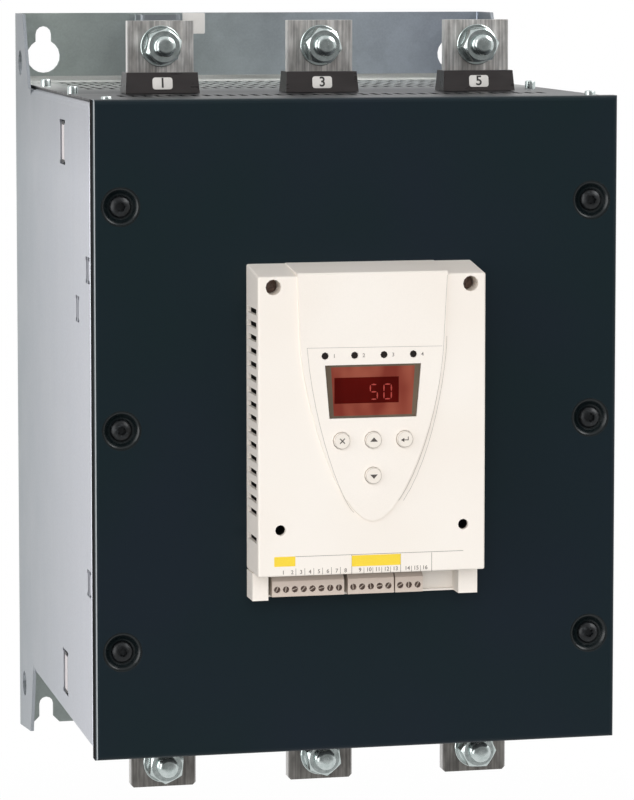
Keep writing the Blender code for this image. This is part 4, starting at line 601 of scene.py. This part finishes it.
def hexagon(name, centre, height, flats, turn):
    """Hexagon nut or head: a six-sided prism whose corners a turned body takes off."""
    piece = end(prism(name, 6, flats / math.sqrt(3), height, centre + FORWARD * height / 2, turn))
    corner = flats / math.sqrt(3) + 0.0002
    face = flats / 2 * 0.95
    stations = ((face, 0), (corner, 0.0012), (corner, height - 0.0014), (face, height))
    return cut(piece, turned("corner_cutter", centre, stations, 48), "INTERSECT")


# Sizes and colours that a user would change


class StarterCoverSettings(bpy.types.PropertyGroup):
    screw_x: bpy.props.FloatProperty(
        name="Screw Distance", description="Cover screws from the middle line",
        default=0.136, unit="LENGTH",
    )
    screw_pitch: bpy.props.FloatProperty(
        name="Screw Pitch", description="Height between cover screws", default=0.125, unit="LENGTH",
    )
    screw_radius: bpy.props.FloatProperty(
        name="Screw Head Radius", description="Radius of a cover screw head",
        default=0.00625, unit="LENGTH",
    )
    screw_seat: bpy.props.FloatProperty(
        name="Screw Seat", description="Depth of the dimple floor behind the face",
        default=0.0027, unit="LENGTH",
    )


class StarterTerminalSettings(bpy.types.PropertyGroup):
    nut_flats: bpy.props.FloatProperty(
        name="Nut Size", description="Nut across its flats", default=0.019, unit="LENGTH",
    )
    washer_radius: bpy.props.FloatProperty(
        name="Washer Radius", description="Radius of the flat washer", default=0.012, unit="LENGTH",
    )
    label_width: bpy.props.FloatProperty(
        name="Label Width", description="Width of a bar label", default=0.0118, unit="LENGTH",
    )
    label_height: bpy.props.FloatProperty(
        name="Label Height", description="Height of a bar label", default=0.0070, unit="LENGTH",
    )
    label_tilt: bpy.props.FloatProperty(
        name="Label Tilt", description="Lean of the collar face",
        default=math.radians(9.46), subtype="ANGLE",
    )
    clamp_radius: bpy.props.FloatProperty(
        name="Clamp Screw Radius", description="Radius of a control terminal screw",
        default=0.00185, unit="LENGTH",
    )


class StarterControlSettings(bpy.types.PropertyGroup):
    field_colour: bpy.props.FloatVectorProperty(
        name="Field Colour", description="Colour of the two bare printed fields",
        default=linear("#f9d83e"), subtype="COLOR", min=0, max=1,
    )
    digit_colour: bpy.props.FloatVectorProperty(
        name="Digit Colour", description="Colour of the lit digits",
        default=linear("#a03830"), subtype="COLOR", min=0, max=1,
    )
    digit_height: bpy.props.FloatProperty(
        name="Digit Height", description="Height of a display digit", default=0.0082, unit="LENGTH",
    )
    segment_width: bpy.props.FloatProperty(
        name="Segment Width", description="Width of a digit's bar", default=0.0008, unit="LENGTH",
    )
    ring_radius: bpy.props.FloatProperty(
        name="Key Ring Radius", description="Radius of the printed key ring",
        default=0.0043, unit="LENGTH",
    )
    line_width: bpy.props.FloatProperty(
        name="Line Width", description="Width of printed lines", default=0.00025, unit="LENGTH",
    )


class StarterStudioSettings(bpy.types.PropertyGroup):
    floor_height: bpy.props.FloatProperty(
        name="Floor Height", description="Height of the pale floor", default=-0.55, unit="LENGTH",
    )
    floor_size: bpy.props.FloatProperty(
        name="Floor Size", description="Width of the pale floor", default=3.0, unit="LENGTH",
    )
    ambient: bpy.props.FloatProperty(
        name="Ambient", description="Even light from all around", default=0.45, min=0,
    )
    key_light: bpy.props.FloatProperty(
        name="Key Light", description="Strength of the soft front light", default=1.54, min=0,
    )
    side_light: bpy.props.FloatProperty(
        name="Side Light", description="Strength of the soft left light", default=0.85, min=0,
    )
    lens: bpy.props.FloatProperty(name="Lens", description="Focal length", default=163.44, unit="CAMERA")


# Operators


class StarterFinishFrame(bpy.types.Operator):
    """Makes every finish and gives it to the CAD pieces"""

    bl_idname = "starter.finish_frame"
    bl_label = "Finish CAD Pieces"

    def execute(self, context):
        for make in (
            galvanised_sheet, galvanised_panel, cover_paint, dimple_paint, ivory_plastic, black_plastic,
            fan_plastic, display_filter, circuit_board, tinned_copper, sheared_steel, zinc_steel, dark_steel,
            plain_finishes,
        ):
            make()
        by_slot = {
            "galvanised_sheet": "hot_dip_galvanised_steel",
            "galvanised_panel": "bright_galvanised_steel",
            "cover_paint": "satin_powder_coat",
            "ivory_plastic": "moulded_ivory_plastic",
            "key_plastic": "moulded_key_plastic",
            "terminal_plastic": "moulded_polyamide",
            "black_plastic": "moulded_black_polyester",
            "contactor_plastic": "thermoset_housing",
            "smoked_plastic": "smoked_acrylic",
            "display_filter": "red_display_filter",
            "circuit_board": "green_circuit_board",
            "tinned_copper": "brushed_tinned_copper",
            "zinc_steel": "bright_zinc_plated_steel",
            "extruded_aluminium": "extruded_aluminium",
        }
        for name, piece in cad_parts.items():
            for holder in piece.material_slots:
                finish = by_slot[holder.material.name]
                if name.startswith(("fan_", "thyristor_", "current_")):
                    finish = "glass_filled_nylon"
                if name.endswith("_crossbar"):
                    finish = "sheared_steel_edge"
                holder.material = FINISHES[finish]
        return {"FINISHED"}


class StarterCoverScrews(bpy.types.Operator):
    """Builds the six button-head cover screws with their six-lobe sockets"""

    bl_idname = "starter.cover_screws"
    bl_label = "Cover Screws"

    def execute(self, context):
        sizes = context.scene.starter_cover
        wide = sizes.screw_radius
        seat = Vector((-sizes.screw_x, COVER_FACE + sizes.screw_seat, sizes.screw_pitch))
        stations = [(0.0025, -0.0115), (0.0025, 0), (wide * 0.97, 0), (wide, 0.0004), (wide, 0.0011)]
        stations += [(wide * 0.93, 0.0021), (wide * 0.78, 0.0030)]
        stations += [(wide * 0.56, 0.0037), (wide * 0.42, 0.0039)]
        screw = turned("cover_screw_head_1", seat, stations)
        spot = seat + FORWARD * 0.0035
        socket = prism("socket_cutter", 24, 0.0024, 0.003, spot)

        def between_lobes(part):
            """True for every fourth corner, half way between two lobes of the socket."""
            angle = math.atan2(part.co.z - seat.z, part.co.x - seat.x)
            return round(angle / math.radians(15)) % 4 == 2

        pick(socket, "VERT", between_lobes)
        bpy.ops.transform.resize(value=(0.72, 1, 0.72), center_override=tuple(spot))
        cut(screw, end(socket))
        # The dish lies on the pressed cone of the cover, with a rolled rim.
        centre = Vector((-sizes.screw_x, COVER_FACE, sizes.screw_pitch))
        stations = [(0.0108, -0.0028), (0.0112, -0.0004), (0.0112, 0.00002), (0.0108, 0.00008)]
        stations += [(0.0102, 0.00005), (0.0098, -0.0002), (0.0092, -0.0007), (0.0085, -0.0014)]
        stations += [(0.0078, -0.0021), (0.0073, -0.0024), (0.0067, -0.00255), (0.0026, -0.0026)]
        dish = turned("cover_dimple_1", centre, stations, 48)
        heads, dishes = [screw], [dish]
        for number in range(2, 7):
            side = 0 if number < 4 else 1
            shift = Vector((2 * sizes.screw_x * side, 0, -sizes.screw_pitch * ((number - 1) % 3)))
            turn = math.radians(17 * number)
            heads.append(copied(screw, f"cover_screw_head_{number}", shift, turn, seat))
            dishes.append(copied(dish, f"cover_dimple_{number}", shift))
        for number, (head, twin) in enumerate(zip(heads, dishes), 1):
            hand_over(head, "black_oxide_steel", replaces=(f"cover_screw_{number}",))
            hand_over(twin, "pressed_powder_coat")
        return {"FINISHED"}


class StarterTerminalBolts(bpy.types.Operator):
    """Builds the bolt, washers and nut of each bar terminal"""

    bl_idname = "starter.terminal_bolts"
    bl_label = "Terminal Bolts"

    def execute(self, context):
        sizes = context.scene.starter_terminals
        wide = sizes.washer_radius
        first = Vector((BAR_X[0], BAR_MIDDLE, BOLT_Z))
        front = first + FORWARD * 0.0033
        rear = first - FORWARD * 0.0133
        stations = [(wide, 0), (wide, 0.0011), (wide - 0.0003, 0.0014), (0.0104, 0.0014)]
        stations += [(0.0103, 0.0024), (0.0099, 0.0026)]
        parts = [turned("washers", front, stations, 48)]
        parts.append(hexagon("nut", front + FORWARD * 0.0025, 0.010, sizes.nut_flats, math.radians(12)))
        thread = [(0.0051, 0), (0.0051, 0.0002), (0.0060, 0.0008), (0.0060, 0.0010), (0.0051, 0.0017)]
        thread += [(0.0060, 0.0025), (0.0060, 0.0027), (0.0051, 0.0034), (0.0060, 0.0042), (0.0060, 0.0046)]
        thread += [(0.0056, 0.0054), (0.0048, 0.0061), (0.0036, 0.0064), (0.0020, 0.0065)]
        parts.append(turned("bolt_end", front + FORWARD * 0.0125, thread, 40))
        parts.append(hexagon("bolt_head", rear, 0.0075, sizes.nut_flats, math.radians(20)))
        ring = [(wide - 0.0003, 0), (wide, 0.0003), (wide, 0.0022), (wide - 0.0003, 0.0025)]
        parts.append(turned("rear_washer", rear + FORWARD * 0.0075, ring, 48))
        bolt = joined("line_bolt_set_1", parts)
        # Each nut has stopped at its own angle.
        for number, angle in enumerate((0, 31, 49, 8, 22, 40)):
            side = "line" if number < 3 else "load"
            column = number % 3
            shift = Vector((BAR_X[column] - BAR_X[0], 0, 0 if number < 3 else -2 * BOLT_Z))
            twin = bolt
            if number:
                twin = copied(bolt, f"{side}_bolt_set_{column + 1}", shift, math.radians(angle), first)
            replaced = (f"{side}_bolt_{column + 1}",)
            hand_over(twin, "bright_zinc_plated_steel", replaces=replaced)
        return {"FINISHED"}


class StarterBarLabels(bpy.types.Operator):
    """Builds the numbered labels on the bar holders"""

    bl_idname = "starter.bar_labels"
    bl_label = "Bar Labels"

    def execute(self, context):
        sizes = context.scene.starter_terminals
        for side, sign, first in (("line", 1, 1), ("load", -1, 2)):
            tilt = -sizes.label_tilt * sign
            spot = Vector((BAR_X[0], -0.2090, 0.1898 * sign))
            size = (sizes.label_width, 0.0008, sizes.label_height)
            label = block(f"{side}_label_1", spot, size, tilt, 0.0016, 0.00015)
            normal = Vector((0, -math.cos(tilt), -math.sin(tilt)))
            for column, x in enumerate(BAR_X):
                shift = Vector((x - BAR_X[0], 0, 0))
                twin = label if column == 0 else copied(label, f"{side}_label_{column + 1}", shift)
                hand_over(twin, "white_label_face")
                place = spot + shift + normal * 0.00042
                number = str(first + 2 * column)
                figure = written(f"{side}_figure_{column + 1}", number, place, 0.0080, tilt, 0.00016)
                hand_over(figure, "black_print")
        return {"FINISHED"}


class StarterPanelScrews(bpy.types.Operator):
    """Builds the small pan-head screws that hold the top panel"""

    bl_idname = "starter.panel_screws"
    bl_label = "Panel Screws"

    def execute(self, context):
        stations = [(0.0029, 0), (0.0031, 0.0003), (0.0031, 0.0046), (0.0028, 0.0052)]
        stations += [(0.0022, 0.0054), (0.0014, 0.0054), (0.0012, 0.0046)]
        first = Vector((*PANEL_SCREWS[0][:2], TOP_FACE - 0.0010))
        screw = turned("panel_screw_1", first, stations, 28, upward=True)
        for number, (x, y, rise) in enumerate(PANEL_SCREWS, 1):
            shift = Vector((x - first.x, y - first.y, rise))
            twin = screw if number == 1 else copied(screw, f"panel_screw_{number}", shift)
            hand_over(twin, "bright_zinc_plated_steel")
        return {"FINISHED"}


class StarterModuleScrews(bpy.types.Operator):
    """Builds the four slotted screws at the bottom of the module's corner wells"""

    bl_idname = "starter.module_screws"
    bl_label = "Module Screws"

    def execute(self, context):
        floor = MODULE_FACE + 0.012
        for number, (x, z, wide) in enumerate(MODULE_SCREWS, 1):
            seat = Vector((x, floor, z))
            stations = [(wide * 0.92, 0), (wide, 0.0004), (wide, 0.0012), (wide * 0.85, 0.0018)]
            stations += [(wide * 0.5, 0.0022), (wide * 0.2, 0.0023)]
            screw = turned(f"module_screw_{number}", seat, stations, 28)
            for turn in (0.6, 0.6 + math.pi / 2):
                size = (wide * 1.2, 0.0016, wide * 0.26)
                cut(screw, block("driver_cutter", seat + FORWARD * 0.0022, size, turn=turn))
            hand_over(screw, "dull_clamp_screw_steel" if z > 0 else "black_oxide_steel")
        return {"FINISHED"}


class StarterClampScrews(bpy.types.Operator):
    """Builds the sixteen slotted screws of the control terminals"""

    bl_idname = "starter.clamp_screws"
    bl_label = "Clamp Screws"

    def execute(self, context):
        wide = context.scene.starter_terminals.clamp_radius
        seat = Vector((TERMINAL_RUNS[0][0], TERMINAL_FACE + 0.002, TERMINAL_Z))
        stations = [(wide * 0.95, 0), (wide, 0.0002), (wide, 0.0008), (wide * 0.9, 0.0012)]
        stations += [(wide * 0.5, 0.0013)]
        screw = turned("clamp_screw_1", seat, stations, 24)
        cut(screw, block("slot_cutter", seat + FORWARD * 0.0012, (wide * 2.4, 0.0012, 0.0006)))
        # Painted highlight: a pale face in each slot stands for the glint of light in it.
        worn = block("clamp_slot_1", seat + FORWARD * 0.00075, (wide * 1.7, 0.0006, 0.00056), corner=0.0002)
        angles = (65, 80, 20, 50, 35, 15, 78, 84, 95, 40, 100, 10, 55, 30, 88, 60)
        for number, (x, angle) in enumerate(zip(terminal_places(), angles), 1):
            shift = Vector((x - seat.x, 0, 0))
            twin = copied(screw, f"clamp_screw_head_{number}", shift, math.radians(angle), seat)
            hand_over(twin, "dull_clamp_screw_steel")
            twin = copied(worn, f"clamp_slot_face_{number}", shift, math.radians(angle), seat)
            hand_over(twin, "screw_slot_highlight")
        bpy.data.objects.remove(screw, do_unlink=True)
        bpy.data.objects.remove(worn, do_unlink=True)
        return {"FINISHED"}


class StarterDisplay(bpy.types.Operator):
    """Builds the lit seven-segment digits of the display"""

    bl_idname = "starter.display"
    bl_label = "Display Digits"

    def execute(self, context):
        sizes = context.scene.starter_control
        tree, place = open_finish("lit_digit_segment")
        glow = grain(tree, place, 0.0006)
        colour = shade(tree, (*sizes.digit_colour, 1), glow, 0.8, 1.1)
        gloss = between(tree, glow, 0.3, 0.4)
        close_finish(tree, colour, gloss, Emission_Color=colour, Emission_Strength=0.25)
        high, thick = sizes.digit_height, sizes.segment_width
        low = 0.0181
        reach = high / 2 - thick * 0.7
        parts = []
        for left, wide, lit in ((-0.0015, 0.0040, "afgcd"), (0.0063, 0.0042, "abcdef")):
            middle = left + wide / 2
            across = wide - thick * 1.4
            places = {
                "a": (middle, low + high, 0), "g": (middle, low + high / 2, 0), "d": (middle, low, 0),
                "f": (left, low + high * 0.75, 1), "b": (left + wide, low + high * 0.75, 1),
                "e": (left, low + high * 0.25, 1), "c": (left + wide, low + high * 0.25, 1),
            }
            for letter in lit:
                x, z, upright = places[letter]
                length = reach if upright else across
                spot = Vector((x, WINDOW_FACE - 0.00003, z))
                part = prism("segment", 6, thick / 2, 0.0001, spot, math.pi / 2 if upright else 0)
                way = Vector((0, 0, 1)) if upright else Vector((1, 0, 0))
                for sign in (1, -1):
                    pick(part, "VERT", lambda corner: (corner.co - spot).dot(way) * sign > thick * 0.1)
                    bpy.ops.transform.translate(value=tuple(way * sign * (length - thick) / 2))
                parts.append(end(part))
        hand_over(joined("lit_digits", parts), "lit_digit_segment")
        return {"FINISHED"}


class StarterIndicatorMarks(bpy.types.Operator):
    """Prints the plain number beside each indicator"""

    bl_idname = "starter.indicator_marks"
    bl_label = "Indicator Marks"

    def execute(self, context):
        marks = []
        for number in range(4):
            beside = FIRST_INDICATOR_X + number * INDICATOR_PITCH + 0.0052
            spot = Vector((beside, SHIELD_FACE - 0.00002, 0.0427))
            marks.append(written(f"mark_{number}", str(number + 1), spot, 0.0030, bold=0.00003))
        hand_over(joined("indicator_marks", marks), "grey_print")
        return {"FINISHED"}


class StarterKeyFaces(bpy.types.Operator):
    """Prints the ring and the symbol on each key"""

    bl_idname = "starter.key_faces"
    bl_label = "Key Faces"

    def execute(self, context):
        sizes = context.scene.starter_control
        circle = {"major_radius": sizes.ring_radius, "minor_radius": 0.00009, "rotation": FACING_FORWARD}
        circle.update({"major_segments": 48, "minor_segments": 8})
        for name, (x, z) in KEY_CENTRES.items():
            middle = Vector((x, KEY_FACE, z))
            ring = begin(f"{name}_key_ring", bpy.ops.mesh.primitive_torus_add, location=middle, **circle)
            bpy.ops.transform.resize(value=(1, 0.3, 1), center_override=tuple(middle))
            hand_over(end(ring), "pale_grey_print", body=f"{name}_key")
            parts = []
            if name in ("up", "down"):
                mark = prism("triangle", 3, 0.0025, PRINT_THICK, middle, 0 if name == "up" else math.pi)
                bpy.ops.transform.resize(value=(1, 1, 0.64), center_override=tuple(middle))
                parts.append(end(mark))
            elif name == "escape":
                for turn in (math.pi / 4, -math.pi / 4):
                    size = (0.0040, PRINT_THICK, 0.0006)
                    parts.append(block("stroke", middle, size, turn=turn, corner=0.0002))
            else:
                strokes = ((0.0003, -0.0003, 0.0030, 0.00045), (0.0016, 0.0005, 0.00045, 0.0020))
                for aside, above, wide, high in strokes:
                    spot = middle + Vector((aside, 0, above))
                    parts.append(block("stroke", spot, (wide, PRINT_THICK, high)))
                spot = middle + Vector((-0.0013, 0, -0.0003))
                parts.append(end(prism("arrow", 3, 0.0013, PRINT_THICK, spot, math.radians(30))))
            hand_over(joined(f"{name}_key_print", parts), "dark_grey_print", body=f"{name}_key")
        return {"FINISHED"}


class StarterPrintedFields(bpy.types.Operator):
    """Prints the bare yellow fields, the lines and the plain terminal numbers"""

    bl_idname = "starter.printed_fields"
    bl_label = "Printed Fields"

    def execute(self, context):
        sizes = context.scene.starter_control
        yellow = (*sizes.field_colour, 1)
        plain_finish("yellow_print", yellow, 0.0007, (0.96, 1.02), (0.4, 0.5), 0.000003)
        face = MODULE_FACE
        for number, (left, right, low, high) in enumerate(YELLOW_FIELDS, 1):
            spot = Vector(((left + right) / 2, face, (low + high) / 2))
            size = (right - left, PRINT_THICK, high - low)
            field = block(f"yellow_field_{number}", spot, size, corner=0.0003)
            hand_over(field, "yellow_print")
        line = sizes.line_width
        # One line over all the terminals, and upright lines between their numbers.
        left, right, level = -0.0440, 0.0525, -0.0690
        spot = Vector(((left + right) / 2, face, level))
        parts = [block("stroke", spot, (right - left, LINE_THICK, line))]
        uprights = [(-0.0118, -0.0800, -0.0690), (0.0163, -0.0800, -0.0694), (0.0342, -0.0800, -0.0694)]
        uprights += [(x, -0.0795, -0.0757) for x in (-0.0437, -0.0386, -0.0335, -0.0285, -0.0234, -0.0183)]
        uprights += [(x, -0.0798, -0.0765) for x in (-0.0048, 0.0003, 0.0054, 0.0105, 0.0226, 0.0277)]
        for x, low, high in uprights:
            spot = Vector((x, face, (low + high) / 2))
            parts.append(block("stroke", spot, (line, LINE_THICK, high - low)))
        hand_over(joined("field_lines", parts), "grey_print")
        figures = []
        for number, x in enumerate(terminal_places(), 1):
            spot = Vector((x, face - 0.00002, -0.0778))
            figures.append(written("figure", str(number), spot, 0.0031, bold=0.00004))
        hand_over(joined("terminal_figures", figures), "grey_print")
        return {"FINISHED"}


class StarterShieldLines(bpy.types.Operator):
    """Paints the fine shade lines along the edges and the seam of the raised shield"""

    bl_idname = "starter.shield_lines"
    bl_label = "Shield Lines"

    def execute(self, context):
        wide = context.scene.starter_control.line_width
        left = sweep((-0.0376, 0.0475), (-0.0337, 0.0011), (-0.0168, -0.0410), (-0.0110, -0.0450))
        inner = sweep((0.0406, 0.0525), (0.0404, 0.0340), (0.0330, -0.0135), (0.0147, -0.0392))
        outer = sweep((0.0426, 0.0523), (0.0426, 0.0351), (0.0350, -0.0148), (0.0178, -0.0395))
        seam = [left[0], (0.0395, 0.0470)]
        side = [(0.0424, 0.0868), (0.0406, 0.0525)]
        parts = []
        for points in (left, seam, side, inner, outer):
            face = MODULE_FACE if points is outer else SHIELD_FACE
            for (x0, z0), (x1, z1) in zip(points, points[1:]):
                spot = Vector(((x0 + x1) / 2, face, (z0 + z1) / 2))
                length = math.hypot(x1 - x0, z1 - z0) + wide * 0.5
                angle = math.atan2(z1 - z0, x1 - x0)
                parts.append(block("stroke", spot, (length, LINE_THICK, wide), turn=-angle))
        hand_over(joined("shield_lines", parts), "pale_grey_print")
        return {"FINISHED"}


class StarterPlateSticker(bpy.types.Operator):
    """Builds the bare sticker on the back plate"""

    bl_idname = "starter.plate_sticker"
    bl_label = "Plate Sticker"

    def execute(self, context):
        spot = Vector((-0.0374, -0.00205, 0.2207))
        sticker = block("plate_sticker", spot, (0.0148, 0.00015, 0.0133), corner=0.0008)
        hand_over(sticker, "white_label_face")
        return {"FINISHED"}


class StarterStudio(bpy.types.Operator):
    """Builds the pale floor, the soft light and the camera"""

    bl_idname = "starter.studio"
    bl_label = "Studio"

    def execute(self, context):
        sizes = context.scene.starter_studio
        add = bpy.ops.mesh.primitive_plane_add
        floor = begin("studio_floor", add, size=sizes.floor_size, location=(0, 0, sizes.floor_height))
        bpy.ops.mesh.subdivide(number_cuts=8)
        bpy.ops.object.mode_set(mode="OBJECT")
        paint = bpy.data.materials.new("pale_matt_floor")
        tree = open_tree(paint)
        seen = seen_by(tree, ("Camera", "Glossy", "Transmission"))
        # The floor fades into the white room towards its edge.
        spot = node(tree, "ShaderNodeTexCoord", out="Object")
        reach = node(tree, "ShaderNodeVectorMath", {0: spot}, out="Value", operation="LENGTH")
        fade = between(tree, reach, 0.9, 1.0, 0.7, 1.45)
        share = node(tree, "ShaderNodeMath", {0: seen, 1: fade}, operation="MULTIPLY")
        matt = node(tree, "ShaderNodeBsdfDiffuse", {"Color": "#f2f2f0"})
        white = node(tree, "ShaderNodeEmission", {"Color": "#ffffff", "Strength": 1.0})
        mix = node(tree, "ShaderNodeMixShader", {0: share, 1: matt, 2: white})
        node(tree, "ShaderNodeOutputMaterial", {"Surface": mix}, out=None)
        floor.data.materials.append(paint)
        world = bpy.data.worlds.new("soft_studio")
        context.scene.world = world
        tree = open_tree(world)
        seen = seen_by(tree, ("Camera", "Transmission"))
        way = node(tree, "ShaderNodeTexCoord", out="Generated")
        axes = node(tree, "ShaderNodeSeparateXYZ", {0: way}, out=None)
        x, y, z = (axes.outputs[name] for name in "XYZ")
        # Polished metal sees a dim room behind the camera, pale walls, a window on the left and a high lamp.
        room = between(tree, y, 0.3, 1.0, -0.95, -0.5)
        window = between(tree, x, 0, 3.0, -0.66, -0.76)
        lamp = between(tree, x, 0, 5.0, 0.45, 0.55)
        high = between(tree, z, 0, 1, 0.35, 0.45)
        lamp = node(tree, "ShaderNodeMath", {0: lamp, 1: high}, operation="MULTIPLY")
        ahead = between(tree, y, 0, 1, -0.1, -0.2)
        window = node(tree, "ShaderNodeMath", {0: window, 1: ahead}, operation="MULTIPLY")
        room = node(tree, "ShaderNodeMath", {0: room, 1: window}, operation="ADD")
        room = node(tree, "ShaderNodeMath", {0: room, 1: lamp}, operation="ADD")
        inputs = {0: seen_by(tree, ("Glossy",)), 2: sizes.ambient, 3: room}
        glossy = node(tree, "ShaderNodeMix", inputs, data_type="FLOAT")
        level = node(tree, "ShaderNodeMix", {0: seen, 2: glossy, 3: 1.0}, data_type="FLOAT")
        light = node(tree, "ShaderNodeBackground", {"Color": "#ffffff", "Strength": level})
        node(tree, "ShaderNodeOutputWorld", {"Surface": light}, out=None)
        deselect()
        lights = {
            "soft_front_light": ((0.12, 0.95, -0.30), sizes.key_light),
            "soft_left_light": ((0.90, 0.30, -0.30), sizes.side_light),
        }
        for name, (direction, energy) in lights.items():
            turn = Vector(direction).to_track_quat("-Z", "Y").to_euler()
            bpy.ops.object.light_add(type="SUN", rotation=turn)
            lamp = context.object
            lamp.name = name
            lamp.data.energy = energy
            lamp.data.angle = math.radians(50)
            lamp.visible_glossy = False
        facing = (math.radians(84.954), 0, math.radians(-12.676))
        bpy.ops.object.camera_add(location=(-0.4704, -2.2866, 0.2639), rotation=facing)
        camera = context.object
        camera.name = "photo_camera"
        camera.data.lens = sizes.lens
        camera.data.sensor_width = 36
        camera.data.sensor_fit = "AUTO"
        camera.data.shift_y = -0.155
        context.scene.camera = camera
        context.scene.view_settings.view_transform = "Standard"
        return {"FINISHED"}


STEPS = (
    StarterFinishFrame, StarterCoverScrews, StarterTerminalBolts, StarterBarLabels, StarterPanelScrews,
    StarterModuleScrews, StarterClampScrews, StarterDisplay, StarterIndicatorMarks, StarterKeyFaces,
    StarterPrintedFields, StarterShieldLines, StarterPlateSticker, StarterStudio,
)
SETTINGS = {
    "starter_cover": StarterCoverSettings,
    "starter_terminals": StarterTerminalSettings,
    "starter_control": StarterControlSettings,
    "starter_studio": StarterStudioSettings,
}


class StarterPanel(bpy.types.Panel):
    """Sidebar panel with the sizes, the colours and every step"""

    bl_idname = "VIEW3D_PT_starter"
    bl_label = "Soft Starter"
    bl_space_type = "VIEW_3D"
    bl_region_type = "UI"
    bl_category = "Soft Starter"

    def draw(self, context):
        for name, settings in SETTINGS.items():
            box = self.layout.box()
            for entry in settings.__annotations__:
                box.prop(getattr(context.scene, name), entry)
        for step in STEPS:
            self.layout.operator(step.bl_idname)


def register():
    for settings in SETTINGS.values():
        bpy.utils.register_class(settings)
    for step in (*STEPS, StarterPanel):
        bpy.utils.register_class(step)
    for name, settings in SETTINGS.items():
        setattr(bpy.types.Scene, name, bpy.props.PointerProperty(type=settings))


def unregister():
    for name in SETTINGS:
        delattr(bpy.types.Scene, name)
    for part in reversed((*SETTINGS.values(), *STEPS, StarterPanel)):
        bpy.utils.unregister_class(part)


def main():
    register()
    for step in STEPS:
        group, name = step.bl_idname.split(".")
        getattr(getattr(bpy.ops, group), name)()


if __name__ == "__main__":
    main()
